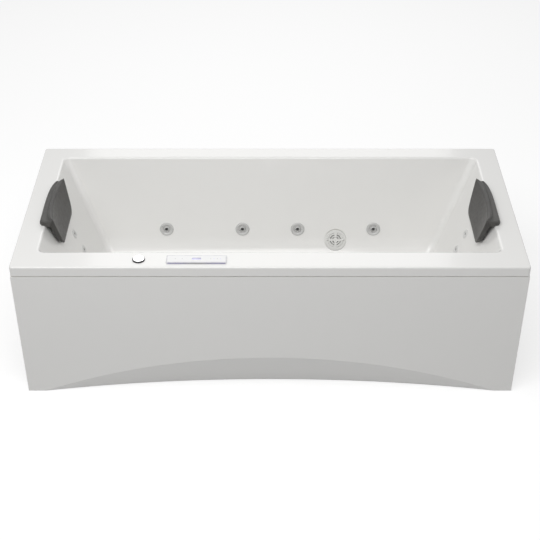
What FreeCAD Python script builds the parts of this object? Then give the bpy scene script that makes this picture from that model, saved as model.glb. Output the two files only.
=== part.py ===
import FreeCAD, Part
import math
import os
import re

import Sketcher

# Jetted bathtub, 1.8 m long, free standing on a steel frame, with a removable front panel.
# Frame: millimetres, +Z up, X along the bath, -Y towards the front panel.
# Origin: on the floor, at the centre of the footprint.

Vector = FreeCAD.Vector
Placement = FreeCAD.Placement
Rotation = FreeCAD.Rotation

DOC = FreeCAD.newDocument("JettedBath")

# ----------------------------------------------------------------------------------------------
# Driving dimensions: alias, value in millimetres or degrees, meaning
# ----------------------------------------------------------------------------------------------
SIZES = [
    ("bath_length", 1800.0, "overall length of the rim"),
    ("bath_width", 800.0, "overall width of the rim"),
    ("rim_height", 575.0, "top of the deck above the floor"),
    ("lip_drop", 38.0, "height of the turned-down edge of the deck"),
    ("shell_wall", 6.0, "thickness of the moulded shell"),
    ("deck_front", 92.0, "deck width in front of the basin"),
    ("deck_back", 73.0, "deck width behind the basin"),
    ("deck_end", 85.0, "deck width at each end"),
    ("deck_edge_round", 6.0, "rounding of the deck's outer edge"),
    ("deck_corner_round", 10.0, "plan radius of the deck's corners"),
    ("rim_round", 9.0, "rounding where the deck turns into the basin"),
    ("basin_depth", 430.0, "deck to basin floor"),
    ("side_lean", 12.0, "lean of the two long walls from upright, degrees"),
    ("end_lean", 21.4, "lean of the two end walls from upright, degrees"),
    ("side_fillet", 130.0, "radius between a long wall and the floor"),
    ("end_fillet", 120.0, "radius between an end wall and the floor"),
    ("floor_rise", 1.0, "flat of the floor above the lowest point that its bends would reach"),
    ("crease_round", 25.0, "radius between neighbouring walls"),
    # water jets
    ("jet_outer_x", 420.0, "outer jets, distance from the middle"),
    ("jet_inner_x", 112.0, "inner jets, distance from the middle"),
    ("jet_depth", 300.0, "jet centres below the deck"),
    ("jet_flange_r", 28.0, "radius of the jet's face ring"),
    ("jet_flange_rise", 5.0, "how far the face ring stands off the wall"),
    ("jet_sleeve_r", 18.5, "radius of the threaded sleeve through the wall"),
    ("jet_sleeve_len", 22.0, "length of the sleeve behind the wall"),
    ("jet_ball_r", 15.0, "radius of the swivelling eyeball"),
    ("jet_ball_back", 5.0, "eyeball centre behind the wall's surface"),
    ("jet_bore_r", 6.5, "radius of the eyeball's outlet"),
    ("ball_gap", 0.2, "clearance of the eyeball in its socket"),
    ("jet_cup_r", 25.0, "radius of the jet body behind the wall"),
    ("tee_depth", 44.0, "water line behind the wall's surface"),
    ("air_rise", 38.0, "air line above the jet centre, along the wall"),
    ("air_depth", 30.0, "air line behind the wall's surface"),
    ("tee_half", 28.0, "half length of the water tee on a jet body"),
    ("gasket_thick", 2.0, "thickness of a wall gasket"),
    # pipework
    ("water_r", 20.0, "outer radius of the water pipe"),
    ("air_r", 10.0, "outer radius of the air pipe"),
    ("riser_r", 8.0, "outer radius of the micro jets' riser"),
    ("suction_r", 25.0, "outer radius of the suction pipe"),
    ("waste_r", 20.0, "outer radius of the waste pipe"),
    ("overflow_r", 12.0, "outer radius of the overflow pipe"),
    ("socket_wall", 4.0, "wall of a glued socket round its pipe"),
    ("socket_depth", 15.0, "how deep a pipe sits in its socket"),
    ("glue_gap", 0.1, "clearance between a pipe and its socket"),
    ("elbow_ratio", 1.1, "elbow centre-line radius over pipe radius"),
    ("air_header_x", 790.0, "air pipe round the left end, from the middle"),
    ("air_tee_x", 500.0, "air hose tee, left of the middle"),
    # micro jets
    ("micro_y", 38.0, "micro jets, behind the middle"),
    ("micro_upper", 166.0, "upper micro jet below the deck"),
    ("micro_lower", 240.0, "lower micro jet below the deck"),
    ("micro_flange_r", 17.5, "radius of a micro jet's face"),
    ("micro_rise", 3.0, "how far a micro jet's face stands off the wall"),
    ("micro_sleeve_r", 9.0, "radius of a micro jet's sleeve"),
    ("micro_cup_r", 15.0, "radius of a micro jet's body"),
    ("micro_depth", 36.0, "riser behind the end wall's surface"),
    # suction fitting
    ("suction_x", 267.0, "suction fitting, right of the middle"),
    ("suction_height", 230.0, "suction centre above the floor"),
    ("suction_cover_r", 43.5, "radius of the suction cover"),
    ("suction_rise", 6.0, "how far the cover stands off its seat"),
    ("suction_pad_r", 46.0, "radius of the flat seat moulded in the wall"),
    ("suction_hole_r", 26.0, "radius of the hole behind the cover"),
    ("suction_cup_r", 36.0, "radius of the suction body's flange"),
    ("suction_drop_y", 207.0, "where the suction line turns down, behind the middle"),
    ("cover_screw_x", 32.0, "cover screws, from the suction centre"),
    ("cover_screw_r", 2.0, "radius of a cover screw"),
    ("suction_depth", 56.0, "suction line behind the seat"),
    # waste and overflow
    ("drain_y", -50.0, "drain centre, towards the front"),
    ("drain_flange_r", 36.0, "radius of the drain flange"),
    ("drain_flange_t", 3.0, "thickness of the drain flange"),
    ("drain_tail_r", 24.0, "outer radius of the drain tail"),
    ("drain_throat_r", 21.0, "inner radius of the drain tail"),
    ("plug_r", 28.5, "radius of the pop-up plug"),
    ("plug_stem_r", 4.0, "radius of the plug's stem"),
    ("shaft_gap", 0.05, "radial clearance of a shaft in its bearing"),
    ("overflow_depth", 85.0, "overflow centre below the deck"),
    ("overflow_knob_r", 35.0, "radius of the overflow knob"),
    ("overflow_line", 40.0, "overflow pipe behind the wall's surface"),
    ("waste_height", 60.0, "centre of the waste pipes above the floor"),
    ("trap_r", 42.0, "radius of the drum trap"),
    ("trap_arm", 60.0, "reach of the trap's inlet and outlet from the drain"),
    ("outlet_depth", 25.0, "depth of the waste outlet's socket"),
    # deck controls
    ("knob_x", 456.0, "air knob, left of the middle"),
    ("knob_y", 354.4, "air knob, in front of the middle"),
    ("knob_r", 22.0, "radius of the air knob"),
    ("knob_tall", 6.0, "height of the air knob"),
    ("valve_stem_r", 5.0, "radius of the air valve's spindle"),
    ("valve_thread_r", 11.0, "radius of the air valve's thread"),
    ("valve_drop", 74.0, "length of the air valve under the deck"),
    ("keypad_x", 254.5, "keypad centre, left of the middle"),
    ("keypad_y", 357.0, "keypad centre, in front of the middle"),
    ("keypad_length", 210.0, "keypad length"),
    ("keypad_width", 44.0, "keypad width"),
    ("keypad_tall", 6.0, "keypad height above the deck"),
    ("keypad_border", 4.0, "frame round the keypad's face"),
    # headrests
    ("pillow_y", 19.0, "headrest centre, in front of the middle"),
    ("pillow_width", 274.0, "headrest width at the deck"),
    ("pillow_tip_width", 222.0, "headrest width at its lower edge"),
    ("pillow_reach", 97.0, "lower edge of a headrest below the deck"),
    ("pillow_lap", 18.0, "how far a headrest laps on to the deck"),
    ("pillow_bow", 20.0, "bow of a headrest's outer edge in plan"),
    ("pillow_rise", 33.0, "height of a headrest above the deck"),
    ("pillow_thick", 20.0, "thickness of a headrest's pad"),
    ("pillow_lean", 9.0, "lean of a headrest's pad from upright, degrees"),
    ("pillow_stand", 19.0, "top of the pad's back, in front of the rim"),
    ("pillow_gap", 0.3, "clearance under a headrest"),
    # front panel
    ("panel_gap", 3.0, "slot between the deck's lip and the panel"),
    ("panel_wall", 4.0, "thickness of the front panel"),
    ("panel_return", 26.0, "depth of the panel's turned-in edges"),
    ("panel_lift", 2.0, "panel above the floor"),
    ("toe_height", 164.0, "height of the toe recess in the middle"),
    ("toe_inset", 64.0, "depth of the toe recess at the floor"),
    ("toe_half", 840.0, "half length of the toe recess"),
    # frame
    ("board_thick", 12.0, "thickness of the floor board"),
    ("board_length", 1130.0, "length of the floor board"),
    ("cross_tall", 20.0, "height of the cross rails"),
    ("cross_wide", 30.0, "width of the cross rails"),
    ("cross_outer_x", 540.0, "outer cross rails, from the middle"),
    ("cross_inner_x", 120.0, "inner cross rails, from the middle"),
    ("frame_half_y", 372.0, "half width of the frame"),
    ("tube_side", 25.0, "side of the square tubes"),
    ("tube_wall", 2.0, "wall of the square tubes"),
    ("rail_y", 300.0, "long rails, from the middle"),
    ("rail_length", 1740.0, "length of the long rails"),
    ("plate_length", 80.0, "rim plate length"),
    ("plate_width", 40.0, "rim plate width"),
    ("plate_thick", 3.0, "steel plate thickness"),
    # feet
    ("foot_outer_x", 680.0, "outer feet, from the middle"),
    ("foot_middle_x", 120.0, "middle feet, right of the middle"),
    ("pad_r", 22.0, "radius of a foot pad"),
    ("pad_tall", 12.0, "height of a foot pad"),
    ("stud_r", 5.0, "radius of a foot stud"),
    ("stud_seat", 6.0, "depth of the stud's seat in its pad"),
    ("nut_flats", 17.0, "width over flats of the nuts"),
    ("weld_nut_tall", 10.0, "height of a weld nut"),
    ("lock_nut_tall", 6.0, "height of a lock nut"),
    # pump
    ("pump_out_offset", 38.0, "pump outlet from the pump's axis"),
    ("pump_y", 70.0, "motor flange, behind the middle"),
    ("pump_height", 115.0, "pump axis above the floor"),
    ("motor_r", 56.0, "radius of the motor"),
    ("motor_length", 120.0, "length of the motor"),
    ("fan_cover_len", 45.0, "length of the fan cover"),
    ("volute_r", 66.0, "radius of the pump casing"),
    ("volute_length", 56.0, "length of the pump casing"),
    ("impeller_r", 46.0, "radius of the impeller"),
    ("shaft_r", 7.0, "radius of the pump shaft"),
    ("shelf_width", 150.0, "width of the pump and control shelves"),
    ("shelf_height", 40.0, "top of the pump shelf above the floor"),
    # control box
    ("box_length", 200.0, "control box length"),
    ("box_width", 120.0, "control box width"),
    ("box_tall", 70.0, "control box height"),
    ("gland_r", 9.0, "outer radius of the cable gland"),
    ("gland_bore_r", 4.5, "bore of the cable gland"),
]

SHEET = DOC.addObject("Spreadsheet::Sheet", "Sheet")
SHEET.Label = "dimensions"
for row, (alias, value, meaning) in enumerate(SIZES, start=1):
    SHEET.set(f"A{row}", meaning)
    SHEET.set(f"B{row}", repr(value))
    SHEET.setAlias(f"B{row}", alias)
DOC.recompute()

NAMES = sorted((alias for alias, _, _ in SIZES), key=len, reverse=True)
NAME_PATTERN = re.compile(r"\b(" + "|".join(NAMES) + r")\b")
NODES = {}


# ----------------------------------------------------------------------------------------------
# Helpers: sizes and placements
# ----------------------------------------------------------------------------------------------
def size(text):
    """Value of an expression in the sheet's names."""
    return float(SHEET.evalExpression(str(text)))


def bind(obj, prop, text):
    """Tie a property to an expression in the sheet's names."""
    obj.setExpression(prop, NAME_PATTERN.sub(r"Sheet.\1", str(text)))


def frame_at(origin, x_axis, y_axis, z_axis):
    """Placement with the given origin and axes."""
    return Placement(origin, Rotation(x_axis, y_axis, z_axis, "ZYX"))


def along(origin, direction):
    """Placement at origin with local +Z along direction."""
    return Placement(origin, Rotation(Vector(0, 0, 1), direction))


def at(x, y, z):
    """Placement without rotation."""
    return Placement(Vector(x, y, z), Rotation())


def shape_of(obj):
    """Shape of an object or of a link to one."""
    return Part.getShape(obj)


# ----------------------------------------------------------------------------------------------
# Helpers: solids
# ----------------------------------------------------------------------------------------------
def add(kind, label):
    """New document object of a kind."""
    obj = DOC.addObject(kind, label)
    obj.Label = label
    return obj


def block(label, length, width, height, x, y, z):
    """Box bound to the sheet; x, y, z are its lowest corner."""
    obj = add("Part::Box", label)
    bind(obj, "Length", length)
    bind(obj, "Width", width)
    bind(obj, "Height", height)
    bind(obj, "Placement.Base.x", x)
    bind(obj, "Placement.Base.y", y)
    bind(obj, "Placement.Base.z", z)
    return obj


def slab(label, length, width, height, placement):
    """Box bound to the sheet, with its lowest corner at a placement."""
    obj = add("Part::Box", label)
    bind(obj, "Length", length)
    bind(obj, "Width", width)
    bind(obj, "Height", height)
    obj.Placement = placement
    return obj


def rod(label, radius, height, placement=None):
    """Cylinder bound to the sheet, on local +Z."""
    obj = add("Part::Cylinder", label)
    bind(obj, "Radius", radius)
    bind(obj, "Height", height)
    if placement is not None:
        obj.Placement = placement
    return obj


def cut(label, base, *tools):
    """Base with each tool taken away."""
    obj = add("Part::Cut", label)
    obj.Base = base
    obj.Tool = tools[0] if len(tools) == 1 else bundle(f"{label}_tools", *tools)
    return obj


def fuse(label, *shapes):
    """One solid from several."""
    obj = add("Part::MultiFuse", label)
    obj.Shapes = list(shapes)
    obj.Refine = True
    return obj


def common(label, *shapes):
    """The space that all shapes share."""
    obj = add("Part::MultiCommon", label)
    obj.Shapes = list(shapes)
    obj.Refine = True
    return obj


def bundle(label, *members):
    """Separate solids in one object."""
    obj = add("Part::Compound", label)
    obj.Links = list(members)
    return obj


def copy_of(label, source, placement):
    """Another copy of a form, standing at its own placement."""
    obj = add("App::Link", label)
    obj.LinkedObject = source
    obj.LinkTransform = True
    obj.Placement = placement
    return obj


def copies(label, source, placements):
    """One object that holds a copy of a form at each placement."""
    links = [copy_of(f"{label}_{i}", source, place) for i, place in enumerate(placements, start=1)]
    return bundle(label, *links)


def rounded(label, base, picks):
    """Fillet: picks is a list of (test on an edge, radius expression)."""
    DOC.recompute()
    obj = add("Part::Fillet", label)
    obj.Base = base
    chosen = []
    for test, radius in picks:
        value = size(radius)
        chosen += [(i, value, value) for i, edge in enumerate(base.Shape.Edges, start=1) if test(edge)]
    obj.Edges = chosen
    return obj


def upright_edge(edge):
    """True for an edge parallel to Z."""
    ends = [v.Point for v in edge.Vertexes]
    return len(ends) == 2 and (ends[0] - ends[1]).cross(Vector(0, 0, 1)).Length < 1e-6


def edge_at_height(z, reach=1e-4):
    """Test for an edge that lies wholly at a height."""
    return lambda edge: all(abs(v.Point.z - z) < reach for v in edge.Vertexes)


# ----------------------------------------------------------------------------------------------
# Helpers: sketches. A corner is (u, v) or (u, v, radius, turn): the last two make the side that
# leaves this corner an arc, +1 bulging to the right of the way round and -1 to the left.
# ----------------------------------------------------------------------------------------------
PLANES = {
    "XY": Rotation(),
    "XZ": Rotation(Vector(1, 0, 0), 90),
    "YZ": Rotation(Vector(1, 1, 1), 120),
}


def arc_between(start, end, radius, turn):
    """Arc of a radius between two points, less than a half turn."""
    half = (end - start) * 0.5
    across = Vector(-half.y, half.x, 0) / half.Length
    reach = math.sqrt(max(radius ** 2 - half.Length ** 2, 0.0))
    centre = start + half + across * reach * turn
    first, last = (start, end) if turn > 0 else (end, start)
    angles = [math.atan2((p - centre).y, (p - centre).x) for p in (first, last)]
    return Part.ArcOfCircle(Part.Circle(centre, Vector(0, 0, 1), radius), angles[0], angles[1])


def draw(sketch, corners):
    """Closed outline with every corner and radius bound to the sheet."""
    points = [Vector(size(c[0]), size(c[1]), 0) for c in corners]
    count = len(corners)
    ends = []
    for i, corner in enumerate(corners):
        start, end = points[i], points[(i + 1) % count]
        if len(corner) == 4:
            radius, turn = corner[2], corner[3]
            geo = sketch.addGeometry(arc_between(start, end, size(radius), turn), False)
            hold = sketch.addConstraint(Sketcher.Constraint("Radius", geo, size(radius)))
            bind(sketch, f"Constraints[{hold}]", radius)
            ends.append((geo, 1, 2) if turn > 0 else (geo, 2, 1))
        else:
            geo = sketch.addGeometry(Part.LineSegment(start, end), False)
            ends.append((geo, 1, 2))
    for i in range(count):
        geo, _, tail = ends[i]
        following, head, _ = ends[(i + 1) % count]
        sketch.addConstraint(Sketcher.Constraint("Coincident", geo, tail, following, head))
    for i, corner in enumerate(corners):
        geo, head, _ = ends[i]
        for kind, text in (("DistanceX", corner[0]), ("DistanceY", corner[1])):
            hold = sketch.addConstraint(Sketcher.Constraint(kind, geo, head, size(text)))
            bind(sketch, f"Constraints[{hold}]", text)
    return sketch


def outline(label, plane, corners, offset=None):
    """Free sketch on one of the main planes, moved by offset."""
    sketch = add("Sketcher::SketchObject", label)
    sketch.Placement = Placement(offset or Vector(0, 0, 0), PLANES[plane])
    return draw(sketch, corners)


def extrude(label, sketch, direction, length, both_ways=False):
    """Solid from a free sketch."""
    obj = add("Part::Extrusion", label)
    obj.Base = sketch
    obj.DirMode = "Custom"
    obj.Dir = direction
    obj.Solid = True
    obj.Symmetric = both_ways
    bind(obj, "LengthFwd", length)
    return obj


def origin_plane(body, role):
    """One of a body's own origin planes."""
    return next(f for f in body.Origin.OriginFeatures if f.Role == role)


def turned(label, corners):
    """Body turned about local Z from an outline in its XZ plane: u is radius, v is height."""
    body = add("PartDesign::Body", label)
    sketch = body.newObject("Sketcher::SketchObject", f"{label}_profile")
    sketch.AttachmentSupport = [(origin_plane(body, "XZ_Plane"), "")]
    sketch.MapMode = "FlatFace"
    DOC.recompute()
    draw(sketch, corners)
    turn = body.newObject("PartDesign::Revolution", f"{label}_turn")
    turn.Profile = sketch
    turn.ReferenceAxis = (sketch, ["V_Axis"])
    turn.Angle = 360
    return body


def padded(label, corners, height):
    """Body padded up local Z from an outline in its XY plane."""
    body = add("PartDesign::Body", label)
    sketch = body.newObject("Sketcher::SketchObject", f"{label}_profile")
    sketch.AttachmentSupport = [(origin_plane(body, "XY_Plane"), "")]
    sketch.MapMode = "FlatFace"
    DOC.recompute()
    draw(sketch, corners)
    pad = body.newObject("PartDesign::Pad", f"{label}_pad")
    pad.Profile = sketch
    bind(pad, "Length", height)
    return body


def node(name, obj):
    """Register a sub-part under its name."""
    obj.Label = name
    NODES[name] = obj
    return obj


# ----------------------------------------------------------------------------------------------
# Seats on the basin's walls: local +Z points into the basin, local +Y up the wall
# ----------------------------------------------------------------------------------------------
RIM_Z = size("rim_height")
FLOOR_Z = size("rim_height - basin_depth")
BACK_RIM = "bath_width / 2 - deck_back"
FRONT_RIM = "bath_width / 2 - deck_front"
END_RIM = "bath_length / 2 - deck_end"


def seat(outward, rim, lean, across, below):
    """Seat on a flat wall: outward is the wall's side, across runs along it."""
    angle = math.radians(size(lean))
    reach = size(rim) - below * math.tan(angle)
    side = Vector(-outward.y, outward.x, 0)
    inward = outward * -math.cos(angle) + Vector(0, 0, math.sin(angle))
    upward = outward * math.sin(angle) + Vector(0, 0, math.cos(angle))
    centre = outward * reach + Vector(0, 0, RIM_Z - below)
    centre += (Vector(1, 0, 0) if abs(outward.y) > 0 else Vector(0, 1, 0)) * across
    return frame_at(centre, upward.cross(inward), upward, inward)


BACK = Vector(0, 1, 0)
FRONT = Vector(0, -1, 0)
LEFT = Vector(-1, 0, 0)
RIGHT = Vector(1, 0, 0)

JET_X = [-size("jet_outer_x"), -size("jet_inner_x"), size("jet_inner_x"), size("jet_outer_x")]
JET_SEATS = [seat(BACK, BACK_RIM, "side_lean", x, size("jet_depth")) for x in JET_X]
JET_SEATS += [seat(FRONT, FRONT_RIM, "side_lean", x, size("jet_depth")) for x in JET_X]

MICRO_SEATS = [
    seat(end, END_RIM, "end_lean", size("micro_y"), size(depth))
    for end in (LEFT, RIGHT)
    for depth in ("micro_upper", "micro_lower")
]
OVERFLOW_SEAT = seat(FRONT, FRONT_RIM, "side_lean", 0.0, size("overflow_depth"))


def suction_seat():
    """Seat on the curved foot of the back wall, square to the curve."""
    lean = math.radians(size("side_lean"))
    fillet = size("side_fillet")
    corner = size(BACK_RIM) - size("basin_depth + floor_rise") * math.tan(lean)
    centre_y = corner - fillet * math.tan((math.pi / 2 - lean) / 2)
    centre_z = FLOOR_Z - size("floor_rise") + fillet
    drop = centre_z - size("suction_height")
    tilt = math.asin(drop / fillet)
    inward = Vector(0, -math.cos(tilt), math.sin(tilt))
    upward = Vector(0, math.sin(tilt), math.cos(tilt))
    place = Vector(size("suction_x"), centre_y + fillet * math.cos(tilt), size("suction_height"))
    return frame_at(place, upward.cross(inward), upward, inward)


SUCTION_SEAT = suction_seat()


# ----------------------------------------------------------------------------------------------
# Moulded shell: deck with a turned-down lip, and a basin with leaning walls
# ----------------------------------------------------------------------------------------------
def basin_half(rim, lean, fillet, grow, top):
    """One side of the basin's profile: brink, start and end of its bend, as (reach, height)."""
    edge = f"({rim} + {grow} / cos({lean}))"
    bend = f"({fillet} + {grow})"
    low = f"(rim_height - basin_depth - floor_rise - {grow})"
    centre = f"({edge} - (rim_height - {low}) * tan({lean}) - {bend} * tan((90 - {lean}) / 2))"
    brink = (f"({edge} + ({top} - rim_height) * tan({lean}))", top)
    start = (f"({centre} + {bend} * cos({lean}))", f"({low} + {bend} * (1 - sin({lean})))")
    end = (f"({centre} + sqrt({bend} ^ 2 - ({bend} - floor_rise) ^ 2))", f"({low} + floor_rise)")
    return brink, start, end, bend


def basin_outline(label, plane, sides, lean, fillet, grow, top):
    """Profile of the basin: two leaning walls, each with its bend down to the flat floor."""
    (brink_l, start_l, end_l, bend), (brink_r, start_r, end_r, _) = [
        basin_half(rim, lean, fillet, grow, top) for rim in sides]
    return outline(label, plane, [
        (f"-{brink_l[0]}", brink_l[1]),
        (f"-{start_l[0]}", start_l[1], bend, 1),
        (f"-{end_l[0]}", end_l[1]),
        (*end_r, bend, 1),
        start_r,
        brink_r,
    ])


def basin_form(label, grow, top):
    """Solid of the basin: the space shared by its cross and its long profile, creases rounded."""
    cross = basin_outline(f"{label}_cross", "YZ", (FRONT_RIM, BACK_RIM), "side_lean", "side_fillet", grow, top)
    long = basin_outline(f"{label}_long", "XZ", (END_RIM, END_RIM), "end_lean", "end_fillet", grow, top)
    across = extrude(f"{label}_across", cross, Vector(1, 0, 0), "2 * bath_length", True)
    lengthways = extrude(f"{label}_lengthways", long, Vector(0, 1, 0), "2 * bath_width", True)
    form = common(f"{label}_mitred", across, lengthways)
    return rounded(label, form, [(is_crease, f"crease_round + {grow}")])


def is_crease(edge):
    """True for the mitred edges that climb from the basin's floor to its brink."""
    box = edge.BoundBox
    return min(box.XLength, box.YLength, box.ZLength) > 0.1


def is_brink(edge):
    """True for the edges round the basin's mouth, at deck level."""
    inside_x = size("bath_length / 2 - deck_end / 2")
    inside_y = size("bath_width / 2 - deck_back / 2")
    flat = all(abs(v.Point.z - RIM_Z) < 1e-3 for v in edge.Vertexes)
    return flat and all(abs(v.Point.x) < inside_x and abs(v.Point.y) < inside_y for v in edge.Vertexes)


def tub_shell():
    """Deck, lip and basin in one moulding, with its holes for the fittings."""
    slab = block("deck_slab", "bath_length", "bath_width", "lip_drop",
                 "-bath_length / 2", "-bath_width / 2", "rim_height - lip_drop")
    slab = rounded("deck_rounded", slab, [
        (upright_edge, "deck_corner_round"),
        (edge_at_height(RIM_Z), "deck_edge_round")])
    under = block("deck_hollow", "bath_length - 2 * shell_wall", "bath_width - 2 * shell_wall", "lip_drop",
                  "-bath_length / 2 + shell_wall", "-bath_width / 2 + shell_wall",
                  "rim_height - shell_wall - lip_drop")
    deck = cut("deck", slab, under)
    outer = basin_form("basin_outer", "shell_wall", "rim_height - shell_wall / 2")
    boss = rod("suction_boss", "suction_pad_r + shell_wall", "shell_wall + 10",
               SUCTION_SEAT * at(0, 0, -size("shell_wall")))
    inner = basin_form("basin_inner", "0", "rim_height + 20")
    shell = cut("shell_plain", fuse("shell_full", deck, outer, boss), inner)
    shell = rounded("shell_brink", shell, [(is_brink, "rim_round")])
    pocket = rod("suction_pocket", "suction_pad_r", "20", SUCTION_SEAT)
    return cut("tub_shell_cut", shell, pocket, *shell_holes())


def shell_holes():
    """Holes through the shell, each from its fitting's own size."""
    through = "4 * shell_wall"
    back_off = at(0, 0, -size("2 * shell_wall"))
    jet = rod("jet_hole", "jet_sleeve_r + glue_gap", through)
    micro = rod("micro_hole", "micro_sleeve_r + glue_gap", through)
    holes = [copies("jet_holes", jet, [s * back_off for s in JET_SEATS])]
    holes.append(copies("micro_holes", micro, [s * back_off for s in MICRO_SEATS]))
    holes.append(rod("suction_hole", "suction_hole_r + glue_gap", through, SUCTION_SEAT * back_off))
    screws = cover_screw_bores("shell_screw_bores", size("2 * shell_wall"))
    screws.Placement = SUCTION_SEAT
    holes.append(screws)
    holes.append(rod("overflow_hole", "overflow_knob_r - 9", through, OVERFLOW_SEAT * back_off))
    drain = Vector(0, size("drain_y"), FLOOR_Z)
    sink = at(drain.x, drain.y, drain.z - size("drain_flange_t"))
    holes.append(rod("drain_recess", "drain_flange_r + glue_gap", through, sink))
    holes.append(rod("drain_hole", "drain_tail_r + glue_gap", through,
                     at(drain.x, drain.y, drain.z - size("2 * shell_wall"))))
    deck_under = RIM_Z - size("2 * shell_wall")
    holes.append(rod("valve_hole", "valve_thread_r + glue_gap", through,
                     at(-size("knob_x"), -size("knob_y"), deck_under)))
    holes.append(block("keypad_hole", "keypad_length / 2", "keypad_width / 2", through,
                       "-keypad_x - keypad_length / 4", "-keypad_y - keypad_width / 4",
                       "rim_height - 2 * shell_wall"))
    return holes


# ----------------------------------------------------------------------------------------------
# Board and steel frame under the shell
# ----------------------------------------------------------------------------------------------
BOARD_Z = "rim_height - basin_depth - shell_wall - board_thick"
CROSS_Z = f"{BOARD_Z} - cross_tall"
RAIL_Z = f"{CROSS_Z} - tube_side"
DECK_UNDER = "rim_height - shell_wall"


def floor_flat():
    """Front and back edge of the flat part of the basin's floor, as expressions."""
    front, back = (basin_half(rim, "side_lean", "side_fillet", "0", "rim_height")[2][0]
                   for rim in (FRONT_RIM, BACK_RIM))
    return f"-{front}", back


def floor_board():
    """Board bonded under the flat of the floor, open round the drain."""
    front, back = floor_flat()
    board = block("board_blank", "board_length", f"({back}) - ({front})", "board_thick",
                  "-board_length / 2", front, BOARD_Z)
    hole = rod("board_hole", "drain_flange_r + 6", "3 * board_thick",
               at(0, size("drain_y"), size(BOARD_Z) - size("board_thick")))
    return cut("board", board, hole)


def tube(label, length, width, tall, x, y, z, run):
    """Hollow rectangular tube; run names the axis that its open ends face."""
    lengths = {"X": length, "Y": width, "Z": tall}
    inner = {axis: f"({text}) - 2 * tube_wall" for axis, text in lengths.items()}
    start = {"X": f"{x} + tube_wall", "Y": f"{y} + tube_wall", "Z": f"{z} + tube_wall"}
    inner[run] = f"({lengths[run]}) + 2"
    start[run] = {"X": f"{x} - 1", "Y": f"{y} - 1", "Z": f"{z} - 1"}[run]
    solid = block(f"{label}_skin", length, width, tall, x, y, z)
    hollow = block(f"{label}_hollow", inner["X"], inner["Y"], inner["Z"],
                   start["X"], start["Y"], start["Z"])
    return cut(label, solid, hollow)


FOOT_SPOTS = [
    Vector(x, side * size("rail_y"), 0)
    for side in (-1, 1)
    for x in (-size("foot_outer_x"), size("foot_middle_x"), size("foot_outer_x"))
]
CROSS_X = [-size("cross_outer_x"), -size("cross_inner_x"), size("cross_inner_x"), size("cross_outer_x")]


def long_rails():
    """Two long rails with a hole over each foot."""
    rails = []
    for side, name in ((-1, "front"), (1, "back")):
        rail = tube(f"{name}_rail_tube", "rail_length", "tube_side", "tube_side",
                    "-rail_length / 2", f"{side} * rail_y - tube_side / 2", RAIL_Z, "X")
        bore = rod(f"{name}_rail_bore", "stud_r + 1", "tube_side / 2")
        spots = [Placement(p + Vector(0, 0, size(RAIL_Z) - size("tube_side / 4")), Rotation())
                 for p in FOOT_SPOTS if p.y * side > 0]
        rails.append(cut(f"{name}_rail", rail, copies(f"{name}_rail_bores", bore, spots)))
    return bundle("long_rails", *rails)


def cross_rails():
    """Four cross rails on the long rails, under the board."""
    rail = tube("cross_rail", "cross_wide", "2 * frame_half_y", "cross_tall",
                "-cross_wide / 2", "-frame_half_y", CROSS_Z, "Y")
    return copies("cross_rails", rail, [at(x, 0, 0) for x in CROSS_X])


def uprights():
    """Posts from the ends of the cross rails up to the deck."""
    tall = f"{DECK_UNDER} - plate_thick - ({BOARD_Z})"
    post = tube("post", "tube_side", "tube_side", tall, "-tube_side / 2", "-tube_side / 2", BOARD_Z, "Z")
    reach = size("frame_half_y - tube_side / 2")
    return copies("posts", post, [at(x, side * reach, 0) for side in (-1, 1) for x in CROSS_X])


def rim_plates():
    """Plates on the posts, screwed up into the deck."""
    plate = block("rim_plate", "plate_length", "plate_width", "plate_thick",
                  "-plate_length / 2", "-plate_width / 2", f"{DECK_UNDER} - plate_thick")
    reach = size("frame_half_y - tube_side / 2")
    return copies("rim_plates", plate, [at(x, side * reach, 0) for side in (-1, 1) for x in CROSS_X])


# ----------------------------------------------------------------------------------------------
# Adjustable feet
# ----------------------------------------------------------------------------------------------
def hexagon(flats):
    """Corners of a hexagon over its flats, as expressions."""
    reach = f"({flats} / 2 / cos(30))"
    return [(f"{reach} * cos({60 * i})", f"{reach} * sin({60 * i})") for i in range(6)]


def nut(label, tall):
    """Hexagon nut on local Z with a running fit on the stud."""
    blank = padded(f"{label}_blank", hexagon("nut_flats"), tall)
    return cut(label, blank, rod(f"{label}_bore", "stud_r + shaft_gap", f"3 * {tall}",
                                 at(0, 0, -size(tall))))


def foot_nuts():
    """A weld nut under the rail and a lock nut under it, at each foot."""
    weld_z = size(RAIL_Z) - size("weld_nut_tall")
    lock_z = weld_z - size("lock_nut_tall")
    weld = copies("weld_nuts", nut("weld_nut", "weld_nut_tall"), [at(p.x, p.y, weld_z) for p in FOOT_SPOTS])
    lock = copies("lock_nuts", nut("lock_nut", "lock_nut_tall"), [at(p.x, p.y, lock_z) for p in FOOT_SPOTS])
    return bundle("foot_nuts", weld, lock)


def foot_pad():
    """Round pad with a seat for the stud."""
    return turned("pad_form", [
        ("0", "0"),
        ("pad_r - 1", "0"),
        ("pad_r", "1"),
        ("pad_r", "pad_tall / 2"),
        ("stud_r + 5", "pad_tall"),
        ("stud_r + shaft_gap", "pad_tall"),
        ("stud_r + shaft_gap", "pad_tall - stud_seat"),
        ("0", "pad_tall - stud_seat"),
    ])


STUD_TOP = f"{RAIL_Z} + tube_wall + 4"


def foot_stud():
    """Threaded stud with a spanner hexagon just over the pad."""
    shank = rod("stud_shank", "stud_r", f"{STUD_TOP} - pad_tall + stud_seat",
                at(0, 0, size("pad_tall - stud_seat")))
    grip = padded("stud_grip", hexagon("nut_flats - 3"), "6")
    grip.Placement = at(0, 0, size("pad_tall") + 2)
    return fuse("stud_form", shank, grip)


# ----------------------------------------------------------------------------------------------
# Front panel with its scooped toe recess
# ----------------------------------------------------------------------------------------------
PANEL_TOP = "rim_height - lip_drop - panel_gap"


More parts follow.
